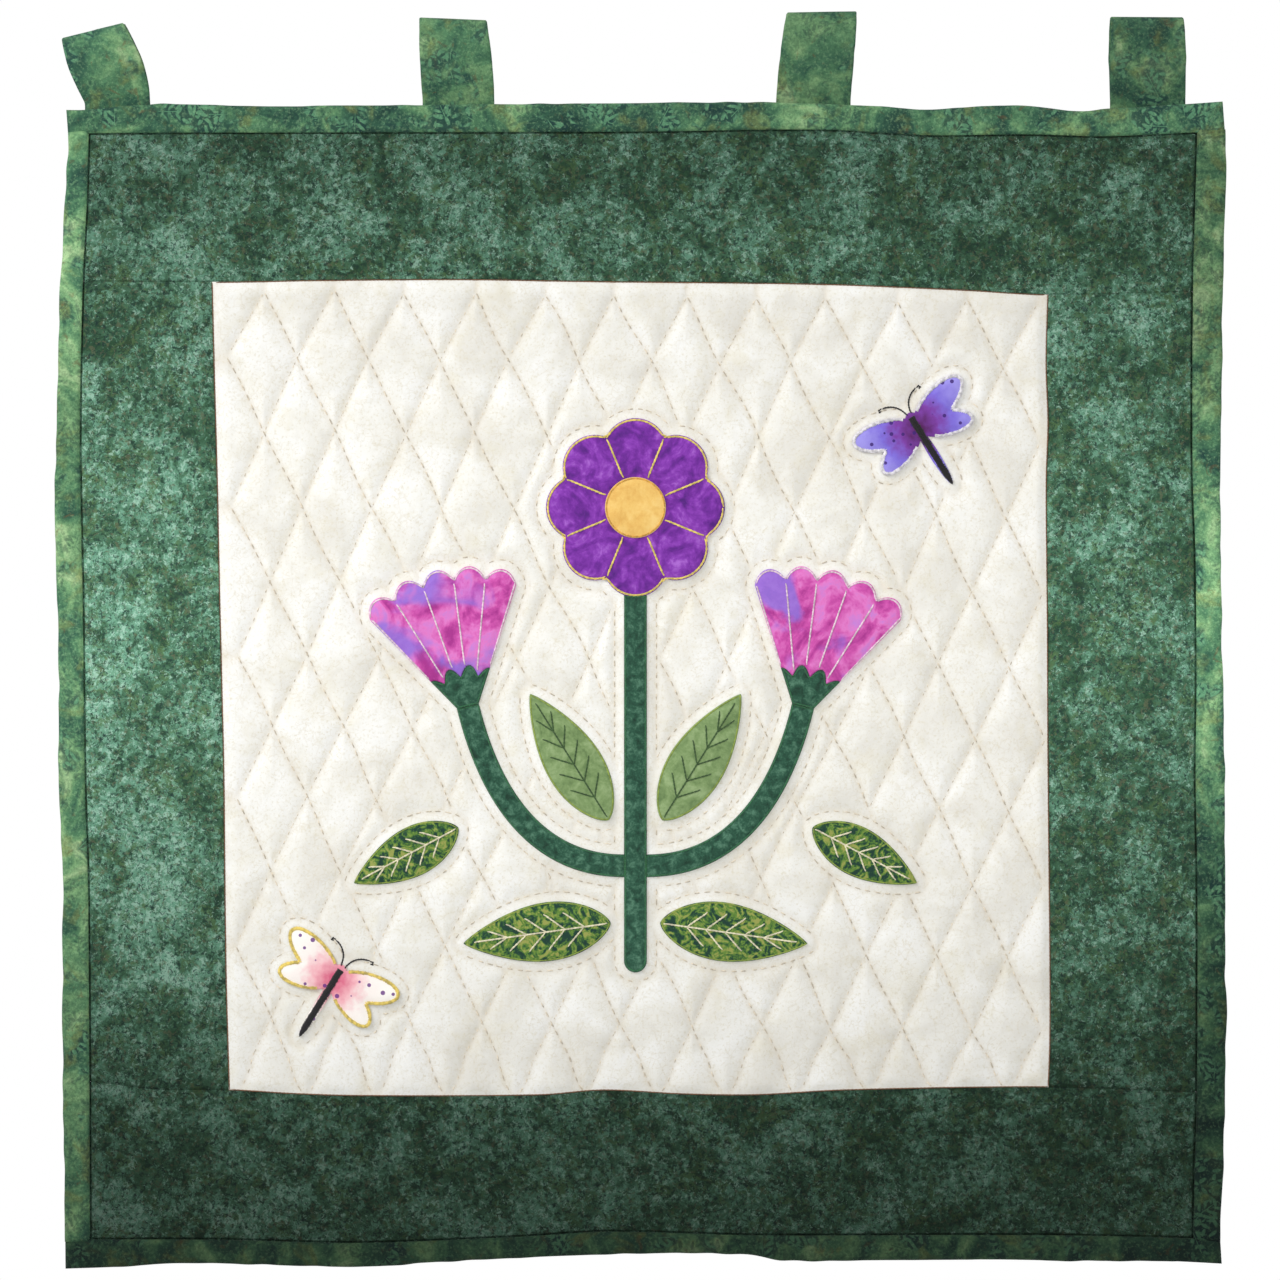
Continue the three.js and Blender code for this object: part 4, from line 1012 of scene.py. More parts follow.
def wide_binding(edge_table, line_table, down, seed):
    left, right = through(LEFT_EDGE, 35.0), through(RIGHT_EDGE, 35.0)

    def place(share):
        x = lerp(left, right, share)
        edge, line = through(edge_table, x), through(line_table, x)
        rough = 0.3 * ripple(x, 0, 9, seed) * (0.04 < share < 0.96)
        end = min(share, 1 - share) * (right - left)
        pinch = math.sqrt(max(0.0, 1 - max(0.0, 1 - end / END_ROUNDING) ** 2))

        def lay(depth, forward):
            drop = edge + down * (depth + rough * (depth < ROUGH_DEPTH))
            bent = lerp(through(LEFT_EDGE, drop), through(RIGHT_EDGE, drop), share)
            return on_sheet(bent, drop, forward * max(pinch, LEAST_END))
        return abs(line - edge), lay, *looseness(x, seed)
    return binding_shape(TOP_BINDING_CLOTH, place)


def tall_binding(edge_table, line_table, inward, seed):
    def place(share):
        level = lerp(*SIDE_BINDING_DROPS, share)
        edge, line = through(edge_table, level), through(line_table, level)
        rough = ripples(level, 0, [(0.3, 9, seed), (0.35, 21, seed + 3)])

        def lay(depth, forward):
            x = edge + inward * (depth + rough * (depth < ROUGH_DEPTH))
            upper = through(TOP_LINE, x) - SIDE_BINDING_OVER
            lower = through(BOTTOM_LINE, x) + SIDE_BINDING_OVER
            return on_sheet(x, lerp(upper, lower, share), forward)
        return abs(line - edge), lay, *looseness(level, seed)
    return binding_shape(BINDING_CLOTH, place)


def tab_shape(number, foot, crown, foot_width, crown_width, rise, tilt, bow):
    """A loop with its outer and inner faces, from root to root; the rest are the values of its row."""
    front = [(-y, z, -inner_y, inner_z) for z, y, inner_z, inner_y in TAB_SECTION]
    back = [(y, z, inner_y, inner_z) for z, y, inner_z, inner_y in reversed(TAB_SECTION[:-1])]
    rows = front + back
    at = np.linspace(0, len(rows) - 1, TAB_STEPS * (len(rows) - 1) + 1)
    faces = [through([(i, row[k]) for i, row in enumerate(rows)], at)[:, None] for k in range(4)]
    edge = through(TOP_EDGE, foot)
    side_share = np.broadcast_to(crowded(TAB_COLUMNS) - 0.5, (len(at), TAB_COLUMNS + 1))
    shape = Shape()
    grids = []
    for order in ((0, 1, 2, 3), (2, 3, 0, 1)):
        y, z, other_y, other_z = (faces[k] + 0 * side_share for k in order)
        share = np.maximum(z / TAB_RISE, 0)
        width = lerp(foot_width, crown_width, share) + 2 * bow * np.sin(np.pi * np.clip(share, 0, 1))
        from_rim = (0.5 - np.abs(side_share)) * width
        thick = np.sqrt(1 - np.clip(1 - from_rim / TAB_ROUNDING, 0, 1) ** 2)
        y = lerp((y + other_y) / 2, y, thick)
        z = lerp((z + other_z) / 2, z, thick)
        across = side_share * width
        sway = ripples(z, 30 * number, TAB_SWAY)
        x = lerp(foot, crown, share**TAB_LEAN) + across + sway * share**0.5 * np.sign(side_share)
        y = y + ripples(across + 50 * number, z, TAB_CRUMPLE) * smoothstep(z, *CRUMPLE_RISE)
        up = np.where(z > 0, z * rise / TAB_RISE, z) + tilt * across * share
        depth = fold_depth(x, edge)
        grids.append(np.stack([x, y - depth, up - edge], -1) / 1000)
    for points in grids:
        shape.grid(points.transpose(1, 0, 2), closed=True)
    around, many = side_share.shape
    for column in (0, many - 1):
        rim = np.arange(around) + column * around
        shape.wall(rim, rim + around * many)
    return shape


def cover_thickness(from_edge):
    """Thickness of an applique piece, whose edge is turned under, at a distance from that edge."""
    rim = np.sqrt(1 - np.clip(1 - from_edge / TURNED_EDGE_WIDTH, 0, 1) ** 2)
    return TURNED_EDGE * rim + (APPLIQUE_CLOTH - TURNED_EDGE) * smoothstep(from_edge, *COVER_RISE)


def applique_shape(tree, name, uv, rings, seed):
    """A piece laid on the cloth beneath it."""
    path = OUTLINES[name] if name in OUTLINES else outline_of(uv, rings)
    thickness = cover_thickness(nearest_in(path)(uv))
    base = on_cloth(tree, uv)
    uneven = ripples(uv[..., 0], uv[..., 1], [(0.1, 6, seed), (0.14, 13, seed + 1)])
    front, back = base.copy(), base.copy()
    front[..., 1] -= thickness * (1 + uneven) / 1000
    back[..., 1] += 0.0003
    shape = Shape()
    (shape.disc if rings else shape.sheet)(front, back)
    return shape


# Materials

def colour(red, green, blue):
    """An sRGB colour, 0 to 255, as Blender's linear one."""
    parts = np.array([red, green, blue]) / 255
    linear = np.where(parts <= 0.04045, parts / 12.92, ((parts + 0.055) / 1.055) ** 2.4)
    return (*linear.tolist(), 1.0)


class Paint:
    """A cloth material. Its patterns are worked out from the place on the piece, in millimetres."""

    def __init__(self, name):
        self.material = bpy.data.materials.new(name)
        self.material.use_nodes = True
        self.tree = self.material.node_tree
        self.tree.nodes.clear()
        place = self.add("TexCoord").outputs["Object"]
        self.mm = self.scaled(place, 1000)
        self.heights = []

    def add(self, kind, inputs=(), **settings):
        node = self.tree.nodes.new("ShaderNode" + kind)
        for key, value in settings.items():
            setattr(node, key, value)
        for key, value in dict(inputs).items():
            if isinstance(value, bpy.types.NodeSocket):
                self.tree.links.new(value, node.inputs[key])
            else:
                node.inputs[key].default_value = value
        return node

    def noise(self, size, detail=3, roughness=0.55, distortion=0.0, shift=0.0):
        """Smooth noise from about 0.25 to 0.75, with patches about size apart."""
        moved = self.vector("ADD", self.mm, (shift, shift / 2, -shift))
        values = {"Vector": moved, "Scale": 1 / size, "Detail": detail, "Roughness": roughness}
        return self.add("TexNoise", {**values, "Distortion": distortion}).outputs[0]

    def math(self, operation, a, b=0.0, c=0.0):
        return self.add("Math", {0: a, 1: b, 2: c}, operation=operation).outputs[0]

    def times(self, a, b):
        return self.math("MULTIPLY", a, b)

    def plus(self, a, b):
        return self.math("ADD", a, b)

    def spread(self, value, low, high):
        """A value between low and high as 0 to 1, smoothly."""
        limits = {"Value": value, "From Min": low, "From Max": high}
        return self.add("MapRange", limits, interpolation_type="SMOOTHSTEP").outputs[0]

    def band(self, value, stops):
        """A colour for a value; each stop is a value and its linear colour."""
        node = self.add("ValToRGB", {0: value})
        elements = node.color_ramp.elements
        while len(elements) < len(stops):
            elements.new(1.0)
        for element, (at, shade) in zip(elements, stops):
            element.position = at
            element.color = shade
        return node.outputs[0]

    def ramp(self, value, *stops):
        return self.band(value, [(at, colour(*shade)) for at, shade in stops])

    def scaled(self, shade, factor):
        return self.add("VectorMath", {0: shade, "Scale": factor}, operation="SCALE").outputs[0]

    def vector(self, operation, a, b):
        return self.add("VectorMath", {0: a, 1: b}, operation=operation).outputs[0]

    def mix(self, share, a, b):
        shades = [s if isinstance(s, bpy.types.NodeSocket) else colour(*s) for s in (a, b)]
        node = self.add("Mix", {0: share, 6: shades[0], 7: shades[1]}, data_type="RGBA")
        return node.outputs[2]

    def weave(self, pitch=0.42, height=0.02):
        """Over and under of a plain weave."""
        waves = []
        parts = self.add("SeparateXYZ", {0: self.mm})
        for axis in ("X", "Z"):
            waves.append(self.math("SINE", self.times(parts.outputs[axis], 2 * math.pi / pitch)))
        self.heights.append((self.times(*waves), height))

    def finish(self, shade, roughness=0.9, sheen=0.25, wrinkle=0.1, slub=0.03, specular=0.25):
        self.heights.append((self.noise(7, 4, 0.6), wrinkle * 4))
        self.heights.append((self.noise(0.9, 2, 0.6), slub * 2))
        normal = None
        for value, height in self.heights:
            inputs = {"Height": value, "Distance": height / 1000}
            if normal:
                inputs["Normal"] = normal
            normal = self.add("Bump", inputs).outputs[0]
        shader = self.add("BsdfPrincipled", {
            "Base Color": shade, "Roughness": roughness, "Normal": normal,
            "Sheen Weight": sheen, "Sheen Roughness": 0.5, "Specular IOR Level": specular,
        })
        self.add("OutputMaterial", {0: shader.outputs[0]})
        return self.material

    def over(self, base, shade, mask, share=1.0):
        """A colour over the base where a mask from 0 to 1 lets it."""
        return self.mix(self.times(mask, share), base, shade)

    def patches(self, base, shade, share, limits, *noise):
        """A colour over the base in patches of noise, which start and are full at the limits."""
        return self.over(base, shade, self.spread(self.noise(*noise), *limits), share)

    def contrast(self, shade, power, pivot):
        """The colour with its lights lighter and its darks darker than the brightness of the pivot."""
        bright = self.add("RGBToBW", {0: shade}).outputs[0]
        factor = self.math("POWER", self.math("DIVIDE", bright, pivot), power)
        return self.scaled(shade, factor)

    def slope(self, axis, start, end, first, last):
        """A value that changes evenly from first to last between two places along an axis."""
        place = self.add("SeparateXYZ", {0: self.mm}).outputs[axis]
        return self.add("MapRange", {0: place, 1: start, 2: end, 3: first, 4: last}).outputs[0]

    def across(self, left, right):
        """A value that changes evenly over the width of the hanging, for painted light and shade from left
        to right.
        """
        return self.slope("X", -HALF_WIDTH, HALF_WIDTH, left, right)

    def fade(self, shade, gain, levels):
        """Painted light and shade: the colour made lighter or darker down the hanging; each level is a drop
        and a share of gain.
        """
        z = self.add("SeparateXYZ", {0: self.mm}).outputs["Z"]
        down = self.math("DIVIDE", z, -PAINTED_LIGHT_DROP)
        shares = self.band(down, [(drop / PAINTED_LIGHT_DROP, (share, share, share, 1)) for drop, share in levels])
        return self.scaled(shade, self.times(shares, gain))

    def leaf_cells(self, cell, shift):
        """Place in the nearest cell, turned at random."""
        flat = self.vector("MULTIPLY", self.vector("ADD", self.mm, (shift, 0, -shift)), (1, 0, 1))
        cells = self.add("TexVoronoi", {"Vector": flat, "Scale": 1 / cell, "Randomness": 0.85})
        offset = self.vector("SUBTRACT", flat, cells.outputs["Position"])
        random = self.add("SeparateColor", {0: cells.outputs["Color"]}).outputs[0]
        turn = self.times(random, 2 * math.pi)
        turned = self.add("VectorRotate", {"Vector": offset, "Angle": turn}, rotation_type="Y_AXIS")
        parts = self.add("SeparateXYZ", {0: turned.outputs[0]})
        return parts.outputs["X"], parts.outputs["Z"]

    def oval(self, x, z, half_length, half_width):
        """A mask that is 1 inside an oval with slightly soft edges."""
        squares = [
            self.math("POWER", self.math("DIVIDE", self.math("ABSOLUTE", value), half), 2.0)
            for value, half in ((x, half_length), (z, half_width))
        ]
        return self.math("SUBTRACT", 1.0, self.spread(self.plus(*squares), 0.4, 1.2))

    def leaflets(self, cell, half_length, half_width, shift=0.0):
        """Single small leaves, one in each cell."""
        return self.oval(*self.leaf_cells(cell, shift), half_length, half_width)

    def sprigs(self, cell, leaf_length, leaf_width, shift=0.0):
        """Small sprigs, one in each cell: pairs of slanted leaves along a stalk."""
        x, z = self.leaf_cells(cell, shift)
        out = self.math("ABSOLUTE", z)
        slanted = self.math("SUBTRACT", x, self.times(out, 0.75))
        along = self.math("PINGPONG", slanted, leaf_width * 0.8)
        from_middle = self.math("SUBTRACT", out, leaf_length / 2 + 0.5)
        leaves = self.oval(along, from_middle, leaf_width / 2, leaf_length / 2)
        stalk = self.math("LESS_THAN", out, 0.22)
        near = self.math("LESS_THAN", self.math("ABSOLUTE", x), cell * 0.4)
        return self.times(self.math("MAXIMUM", leaves, stalk), near)


def cream_cotton():
    p = Paint("cream_cotton")
    # The cotton's cloudy tone, with painted light that makes it lighter at the left and darker at the right
    cloudy_and_painted_light = p.plus(p.noise(34, 4, 0.6, 0.5), p.across(0.06, -0.05))
    base = p.ramp(cloudy_and_painted_light, (0.36, (233, 230, 221)), (0.5, (242, 240, 232)), (0.62, (248, 247, 242)))
    base = p.patches(base, (228, 220, 192), 0.3, (0.5, 0.72), 15, 4, 0.65, 0.3, 25)
    base = p.patches(base, (214, 204, 176), 0.45, (0.5, 0.7), 1.5, 3, 0.7, 0, 44)
    # Painted shade in the quilting's valleys: a tan darkening of the cream along the stitches
    painted_valley_shade = p.add("Attribute", attribute_name="valley_shade").outputs["Fac"]
    base = p.over(base, (216, 200, 172), p.times(painted_valley_shade, p.noise(6, 3, 0.6, 0, 61)), 0.5)
    crackle = p.add("TexVoronoi", {"Vector": p.mm, "Scale": 1 / 4.2}, feature="DISTANCE_TO_EDGE").outputs[0]
    lines = p.math("SUBTRACT", 1.0, p.spread(crackle, 0.0, 0.08))
    lines = p.times(lines, p.spread(p.noise(9, 3, 0.6, 0, 40), 0.45, 0.62))
    # The crackle of the print, then painted light and shade down the panel: lighter in its middle, darker at
    # its top and more so at its foot
    base = p.fade(p.over(base, (212, 200, 172), lines, 0.25), 1.0, PANEL_PAINTED_LIGHT)
    p.weave()
    return p.finish(base, 0.92, 0.2, 0.1)


def marbled_green():
    """Green cotton printed all over with small sharp flecks in lighter, darker and brownish greens, with
    painted light and shade that make it brightest just above the middle of the hanging, darker at its top,
    much darker at its foot and towards its right.
    """
    p = Paint("marbled_green")
    # Large patches of the print, with painted light that makes them lighter at the left and darker at the
    # right
    patches = p.plus(p.noise(30, 3, 0.6, 0.5), p.across(0.05, -0.04))
    clumps = p.noise(6.5, 4, 0.7, 0.5, 17)
    ground = p.plus(p.times(patches, 0.5), p.times(clumps, 0.5))
    base = p.ramp(ground, (0.38, (46, 76, 54)), (0.5, (69, 106, 82)), (0.62, (99, 146, 121)))
    base = p.patches(base, (84, 108, 64), 0.5, (0.5, 0.64), 11, 4, 0.7, 0.6, 140)
    base = p.patches(base, (38, 56, 42), 0.7, (0.54, 0.62), 9, 6, 0.72, 0.8, 155)
    # A fleck shows where fine noise passes a level that the patches raise and lower
    for size, shift, low, lean, shade, share in (
        (3.4, 30, 0.53, 0.6, (107, 154, 130), 0.65), (3.0, 97, 0.54, -0.3, (38, 62, 50), 0.85),
        (2.3, 63, 0.58, 0.7, (151, 187, 167), 0.7), (2.8, 120, 0.56, -0.1, (96, 98, 76), 0.55),
        (2.0, 75, 0.56, 0.1, (34, 52, 50), 0.8),
    ):
        fine = p.noise(size, 5, 0.74, 0.6, shift)
        lifted = p.plus(fine, p.times(p.math("SUBTRACT", ground, 0.5), lean))
        base = p.over(base, shade, p.spread(lifted, low, low + 0.04), share)
    # Painted light and shade: brightest just above the middle of the hanging, darker at the top, much darker
    # at the foot, a little darker at the right
    base = p.fade(base, p.across(1.14, 1.06), BORDER_PAINTED_LIGHT)
    p.weave()
    return p.finish(base, 0.9, 0.02, 0.12, specular=0.1)


def batik_green(name, tones, gains, power, levels):
    """Batik in mottled greens with small leaves, under painted light and shade. What is added to its
    lightness, about
    -0.1 to 0.1, is painted light and shade that goes from the first to the last of the tones down the
    hanging; it is made brighter by the gains at its left and right, lighter and darker down the hanging by
    the painted levels, and power sets its contrast."""
    p = Paint(name)
    # Painted light and shade added to the lightness, from the top of the hanging to its foot
    tone = p.slope("Z", *BATIK_SPAN, *tones)
    ground = p.plus(p.noise(27, 4, 0.6, 0.8, 12), tone)
    base = p.ramp(
        ground, (0.32, (36, 64, 56)), (0.43, (54, 92, 72)), (0.52, (78, 120, 86)), (0.62, (112, 150, 104)),
        (0.7, (142, 170, 124)),
    )
    base = p.patches(base, (118, 124, 68), 0.5, (0.54, 0.68), 17, 3, 0.6, 0.6, 82)
    base = p.patches(base, (104, 80, 52), 0.5, (0.61, 0.72), 7, 3, 0.6, 0.8, 140)
    # Dark patches of the print, more of them where the painted tone is darker
    dark = p.spread(p.math("SUBTRACT", p.noise(17, 3, 0.55, 0.4, 60), tone), 0.53, 0.61)
    base = p.over(base, (30, 58, 60), dark, 0.75)
    base = p.patches(base, (36, 68, 54), 0.3, (0.4, 0.62), 3.2, 5, 0.72, 0.5, 5)
    light_leaves = p.math("MAXIMUM", p.sprigs(17, 5.4, 2.4, 9), p.leaflets(5.6, 2.7, 1.1, 37))
    base = p.over(base, (92, 142, 106), p.times(light_leaves, dark), 0.7)
    plain = p.math("SUBTRACT", 1.0, dark)
    where = p.times(plain, p.spread(p.noise(16, 2, 0.5, 0, 71), 0.48, 0.55))
    dark_leaves = p.math("MAXIMUM", p.sprigs(13, 4.8, 2.1, 0), p.leaflets(6.4, 2.9, 1.1, 23))
    base = p.over(base, (28, 52, 54), p.times(dark_leaves, where), 0.4)
    base = p.patches(base, (30, 60, 48), 0.28, (0.44, 0.62), 1.3, 3, 0.7, 0, 52)
    base = p.patches(base, (150, 190, 140), 0.2, (0.5, 0.66), 1.5, 3, 0.7, 0, 84)
    # Contrast, then painted light and shade: the gains at the left and right and the levels down the hanging
    base = p.fade(p.contrast(base, power, LIGHT_PIVOT), p.across(*gains), levels)
    p.weave()
    return p.finish(base, 0.88, 0.04, 0.14, specular=0.12)


def dyed_cotton(name, size, distortion, blotch, stops):
    """Cotton dyed in soft patches."""
    p = Paint(name)
    fine = p.times(p.noise(size / 5, 4, 0.65, 0.3, 14), 0.3)
    value = p.plus(p.times(p.noise(size, 4, 0.6, distortion), 0.7), fine)
    base = p.ramp(value, *stops)
    if blotch:
        share = p.spread(p.noise(size * 1.3, 3, 0.5, 1, 33), 0.5, 0.66)
        base = p.mix(p.times(share, 0.8), base, blotch)
    p.weave()
    return p.finish(base, 0.88, 0.2, 0.1)


def thread(name, shade):
    p = Paint(name)
    dark = tuple(0.8 * part for part in shade)
    base = p.mix(p.spread(p.noise(2.2, 2, 0.5), 0.35, 0.65), dark, shade)
    return p.finish(base, 0.65, 0.3, 0.0, 0.03)


def wing_cotton(name, centre, stops, dot, dot_cell):
    """Cloth of an insect, shaded out from its middle, with small round spots."""
    p = Paint(name)
    u, v = centre
    middle = (DESIGN[0] + u, 0, v - DESIGN[1])
    flat = p.vector("MULTIPLY", p.mm, (1, 0, 1))
    reach = p.add("VectorMath", {0: flat, 1: middle}, operation="DISTANCE").outputs["Value"]
    wavy = p.plus(reach, p.times(p.noise(4, 3), 12))
    base = p.ramp(p.math("DIVIDE", wavy, WING_REACH), *stops)
    cells = p.add("TexVoronoi", {"Vector": flat, "Scale": 1 / dot_cell, "Randomness": 0.5}).outputs[0]
    spots = p.math("LESS_THAN", cells, 0.2)
    base = p.mix(p.times(spots, 0.9), base, dot)
    p.weave(0.3, 0.015)
    return p.finish(base, 0.8, 0.3, 0.05)


def materials():
    made = {"cream_cotton": cream_cotton(), "marbled_green": marbled_green()}
    for name, row in BATIKS.items():
        made[f"batik_{name}"] = batik_green(f"batik_{name}", *row)
    for name, row in DYED.items():
        made[name] = dyed_cotton(name, *row)
    made["violet_wings"] = wing_cotton(
        "violet_wings", INSECTS[0][1:3],
        ((0.2, (84, 24, 92)), (0.42, (122, 58, 160)), (0.62, (126, 108, 214)), (0.9, (160, 150, 232))),
        (58, 24, 110), 5.2,
    )
    made["white_wings"] = wing_cotton(
        "white_wings", INSECTS[1][1:3],
        ((0.2, (214, 96, 128)), (0.42, (240, 178, 186)), (0.62, (248, 238, 232)), (0.9, (252, 248, 240))),
        (104, 40, 130), 6.0,
    )
    for name, shade in THREADS.items():
        made[name] = thread(name, shade)
    return made


# Thread work of the applique

def inset(name, distance):
    """The outline of an applique piece, moved inwards."""
    return outward(OUTLINES[name], -distance, 2)


def straight(a, b):
    return dense(np.array([a, b], float))


def rosette_lines():
    angles = np.linspace(0, 360, 500)
    lines = [polar(ROSETTE, angles, rosette_reach(angles) - 0.9)]
    for k in range(PETALS):
        angle = 360 / PETALS * (k + 0.5) - 90
        ends = [polar(ROSETTE, angle, reach) for reach in (CENTRE_RADIUS + 0.6, rosette_reach(angle) - 1.2)]
        lines.append(straight(*ends))
    return lines


def bloom_lines(side):
    """A bloom's two sides, its scalloped edge and the rays between its scallops."""
    place = lambda t, s: fan_place(t, s, side, calyx_edge, bloom_edge)
    ray = lambda start, end, s: place(np.linspace(start, end, 40), np.full(40, s))
    edge = place(np.full(200, 0.985), 0.98 * np.linspace(-1, 1, 200))
    rays = [ray(0.03, 0.97, 2 * k / SCALLOPS - 1) for k in range(1, SCALLOPS)]
    return [ray(0, 1, -0.98), ray(0, 1, 0.98), edge, *rays]


def vein_lines(side, leaf):
    lines = [leaf_place(np.linspace(0.02, 0.93, 50), np.zeros(50), side, leaf)]
    for t in (0.18, 0.31, 0.44, 0.57, 0.7):
        for hand in (-1, 1):
            start = leaf_place(np.array(t), np.array(0.0), side, leaf)
            end = leaf_place(np.array(t + 0.13), np.array(hand * 0.62), side, leaf)
            lines.append(straight(start, end))
    return lines


def insect_body(tree, origin, aim):
    """Satin stitches over the head and the tail."""
    line = straight(polar(origin, aim, BODY_HEAD), polar(origin, aim + 180, BODY_TAIL))
    return satin_stitch(tree, line, BODY_HALF, BODY_HALF, BODY_THREAD, BODY_TAPER)


def insect_edges(tree, origin, aim):
    """Satin stitches over the edges of the four wings."""
    shapes = []
    for lobe in LOBES[1:5]:
        angles = np.linspace(lobe[0] - 60, lobe[0] + 60, 200)
        own = insect_reach(angles)
        keep = (own > WING_ROOT) & (np.abs(angles) < TAIL_TURN)
        for path in runs_of(polar(origin, angles + aim, own), keep):
            shapes.append(satin_stitch(tree, path, 1.5, 0.35))
    return joined(*shapes)


def feelers(origin, aim):
    """Two feelers, each with a small curl at its tip."""
    lines = []
    for hand in (-1, 1):
        t = np.linspace(0, 1, 30)
        reach = 8 + 13 * t
        lines.append(polar(origin, aim + hand * (8 + 22 * t**2), reach))
        tip = lines[-1][-1]
        turns = np.linspace(0, 300, 24)
        curl = 1.7 * (1 - turns / 500)
        middle = polar(tip, aim + hand * 120, 1.7)
        lines.append(polar(middle, aim + hand * (turns - 60), curl))
    return lines


def applique_shapes(panel):
    """The applique pieces on the panel, by name; the rosette's centre lies on the rosette."""
    panel_tree = panel.tree()
    shapes = {}
    for seed, (name, uv, rings, slot) in enumerate(APPLIQUE):
        shapes[name] = applique_shape(panel_tree, name, uv, rings, 100 + 2 * seed)
    ring = np.arange(0, 360, 5)
    share, angle = np.meshgrid(np.sin(np.linspace(0, np.pi / 2, 12)), ring, indexing="ij")
    uv = polar(ROSETTE, angle, share * CENTRE_RADIUS)
    shapes["rosette_centre"] = applique_shape(shapes["rosette"].tree(), "rosette_centre", uv, True, 90)
    return shapes


def thread_shapes(tree):
    """The thread work over the panel and the applique: name, shape, material and slot."""
    lines = quilting_lines()
    sewn = [
        ("quilting_front", running_stitches(tree, lines, -1, 0.15), "quilting_thread", "cream_cotton"),
        ("quilting_back", running_stitches(tree, lines, 1, 0.65), "quilting_thread", "cream_cotton"),
    ]
    edged = ("stem_main", "stem_left", "stem_right", "calyx_left", "calyx_right")
    veins, edges = {"light": [], "batik": []}, {"light": [], "batik": []}
    for i, leaf in enumerate(LEAVES):
        kind = "light" if i == LIGHT_LEAF else "batik"
        for side in (-1, 1):
            veins[kind] += vein_lines(side, leaf)
            edges[kind].append(inset(leaf_name(i, side), 0.7))
    centre = polar(ROSETTE, np.linspace(0, 360, 120), CENTRE_RADIUS - 0.7)
    blooms = bloom_lines(-1) + bloom_lines(1)
    # Name, paths, the thread's radius, stitch length, material and slot
    for name, paths, radius, length, material, slot in (
        ("seam_thread", seam_lines(), 0.24, 4.0, "brown_thread", "cream_cotton"),
        ("rosette_outline", rosette_lines(), EMBROIDERY_THREAD, 4.4, "yellow_thread", "yellow_cotton"),
        ("centre_outline", [centre], 0.3, 3.2, "orange_thread", "yellow_cotton"),
        ("bloom_outlines", blooms, 0.36, 3.6, "pink_thread", "pink_batik"),
        ("stem_edges", [inset(piece, 0.8) for piece in edged], 0.26, 3.4, "green_thread", "stem_green"),
        ("batik_leaf_veins", veins["batik"], 0.36, 3.6, "cream_thread", "light_leaf"),
        ("light_leaf_veins", veins["light"], 0.34, 3.6, "vein_thread", "batik_leaf"),
        ("light_leaf_edges", edges["light"], 0.28, 3.2, "moss_thread", "light_leaf"),
        ("batik_leaf_edges", edges["batik"], 0.24, 3.2, "moss_thread", "batik_leaf"),
    ):
        sewn.append((name, stem_stitch(tree, paths, radius, length), material, slot))
    for (word, u, v, aim), material in zip(INSECTS, ("white_thread", "yellow_thread")):
        sewn.append((f"insect_{word}_edges", insect_edges(tree, (u, v), aim), material, "white_wings"))
        body = joined(insect_body(tree, (u, v), aim), stem_stitch(tree, feelers((u, v), aim), 0.34, 2.6))
        sewn.append((f"insect_{word}_body", body, "black_thread", "violet_wings"))
    return sewn


def make_panel(made):
    """The centre panel with the applique and the thread work that belong to it."""
    panel = panel_shape()
    shapes = applique_shapes(panel)
    slots = {name: slot for name, uv, rings, slot in APPLIQUE}
    slots["rosette_centre"] = "yellow_cotton"
    tree = joined(panel, *shapes.values()).tree()
    for name, shape in shapes.items():
        shape.piece(f"{name}_cloth", made[slots[name]], slots[name], [name])
    for name, shape, material, slot in thread_shapes(tree):
        shape.piece(name, made[material], slot)
    cloth = panel.piece("panel_cloth", made["cream_cotton"], "cream_cotton", ["centre_panel"])


def make_borders(made):
    for word, place, steps, flat in (
        ("top", wide_place(TOP_EDGE, TOP_LINE, UPPER_SEAM, 1), 340, (0.606, 0.092)),
        ("bottom", wide_place(BOTTOM_EDGE, BOTTOM_LINE, LOWER_SEAM, -1), 340, (0.606, 0.089)),
        ("left", side_place(LEFT_EDGE, LEFT_LINE, LEFT_SEAM, 1), 190, (0.083, 0.425)),
        ("right", side_place(RIGHT_EDGE, RIGHT_LINE, RIGHT_SEAM, -1), 190, (0.09, 0.42)),
    ):
        name, green = f"border_{word}", "marbled_green"
        strip = strip_shape(place, steps).piece(f"{name}_cloth", made[green], green, [name])


def make_bindings(made):
    tabs = [f"tab_{number}" for number in range(1, len(TABS) + 1)]
    for word, shape, flat, rests_on in (
        ("top", wide_binding(TOP_EDGE, TOP_LINE, 1, 50), (0.609, 0.036), tabs),
        ("bottom", wide_binding(BOTTOM_EDGE, BOTTOM_LINE, -1, 60), (0.609, 0.036), ["border_bottom"]),
        ("left", tall_binding(LEFT_EDGE, LEFT_LINE, 1, 70), (0.036, 0.581), ["border_left"]),
        ("right", tall_binding(RIGHT_EDGE, RIGHT_LINE, -1, 80), (0.036, 0.581), ["border_right"]),
    ):
        name = f"binding_{word}"
        strip = shape.piece(f"{name}_cloth", made[f"batik_{word}"], "batik_green", [name])
        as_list(rests_on)


def make_tabs(made):
    for number, row in enumerate(TABS, 1):
        shape = tab_shape(number, *row)
        tab = shape.piece(f"tab_{number}_cloth", made["batik_tabs"], "batik_green", [f"tab_{number}"])


def build():
    made = materials()
    for make in (make_panel, make_borders, make_bindings, make_tabs):
        make(made)


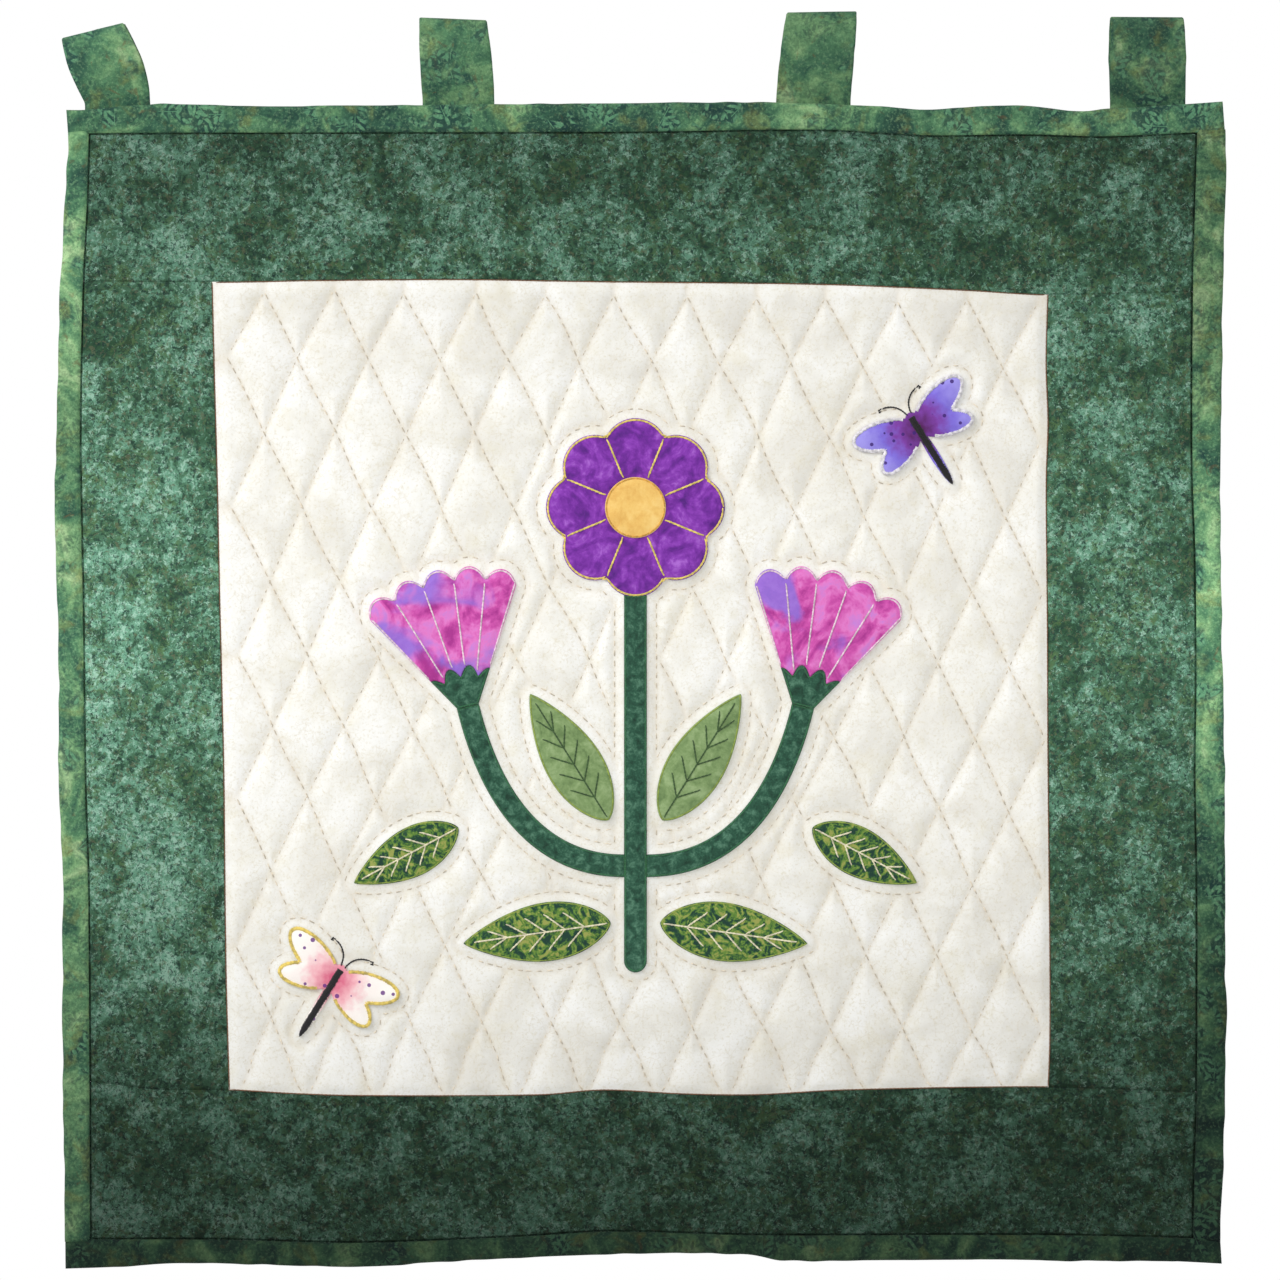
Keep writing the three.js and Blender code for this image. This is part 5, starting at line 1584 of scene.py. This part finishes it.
def studio():
    """Pale floor, soft light and the camera, face on."""
    world = bpy.data.worlds.new("studio")
    bpy.context.scene.world = world
    world.use_nodes = True
    tree = world.node_tree
    tree.nodes.clear()
    add = lambda kind: tree.nodes.new("ShaderNode" + kind)
    kinds = ("Background", "Background", "LightPath", "MixShader", "OutputWorld")
    seen, lit, path, choice, output = map(add, kinds)
    seen.inputs[0].default_value = (1, 1, 1, 1)
    lit.inputs[0].default_value = WORLD_COLOUR
    lit.inputs[1].default_value = WORLD_LIGHT
    tree.links.new(path.outputs["Is Camera Ray"], choice.inputs[0])
    tree.links.new(lit.outputs[0], choice.inputs[1])
    tree.links.new(seen.outputs[0], choice.inputs[2])
    tree.links.new(choice.outputs[0], output.inputs[0])

    for name, place, size, energy in LAMPS:
        light = bpy.data.lights.new(name, "AREA")
        light.size = size
        light.energy = energy
        lamp = placed(name, light)
        lamp.location = place
        aim = Vector(LIT_PLACE) - Vector(place)
        lamp.rotation_euler = aim.to_track_quat("-Z", "Y").to_euler()

    shape = Shape()
    angle = np.linspace(0, 360, 96, endpoint=False)
    share, angle = np.meshgrid(np.linspace(0, 1, 6), angle, indexing="ij")
    flat = polar((0, 0), angle, share * FLOOR_RADIUS)
    shape.grid(np.concatenate([flat, np.full((*flat.shape[:2], 1), -FLOOR_DROP / 1000)], -1), closed=True)
    mesh = bpy.data.meshes.new("floor")
    mesh.from_pydata(np.concatenate(shape.points), [], shape.faces)
    p = Paint("pale_floor")
    mesh.materials.append(p.finish(p.ramp(p.noise(60), *FLOOR_STOPS), 0.8, 0.0, 0.0, 0.0))
    placed("floor", mesh)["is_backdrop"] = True

    camera = placed("camera", bpy.data.cameras.new("camera"))
    x, drop = VIEW_MIDDLE
    camera.location = (x / 1000, SHEET_Y / 1000 - CAMERA_DISTANCE, -drop / 1000)
    camera.rotation_euler = (math.pi / 2, 0, 0)
    camera.data.sensor_width = SENSOR_WIDTH
    camera.data.lens = SENSOR_WIDTH * CAMERA_DISTANCE / (VIEW_WIDTH / 1000)
    camera.data.clip_end = 100
    bpy.context.scene.camera = camera
    bpy.context.scene.view_settings.view_transform = "Standard"


studio()
build()
bpy.context.view_layer.update()
[list(corner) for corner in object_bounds()]
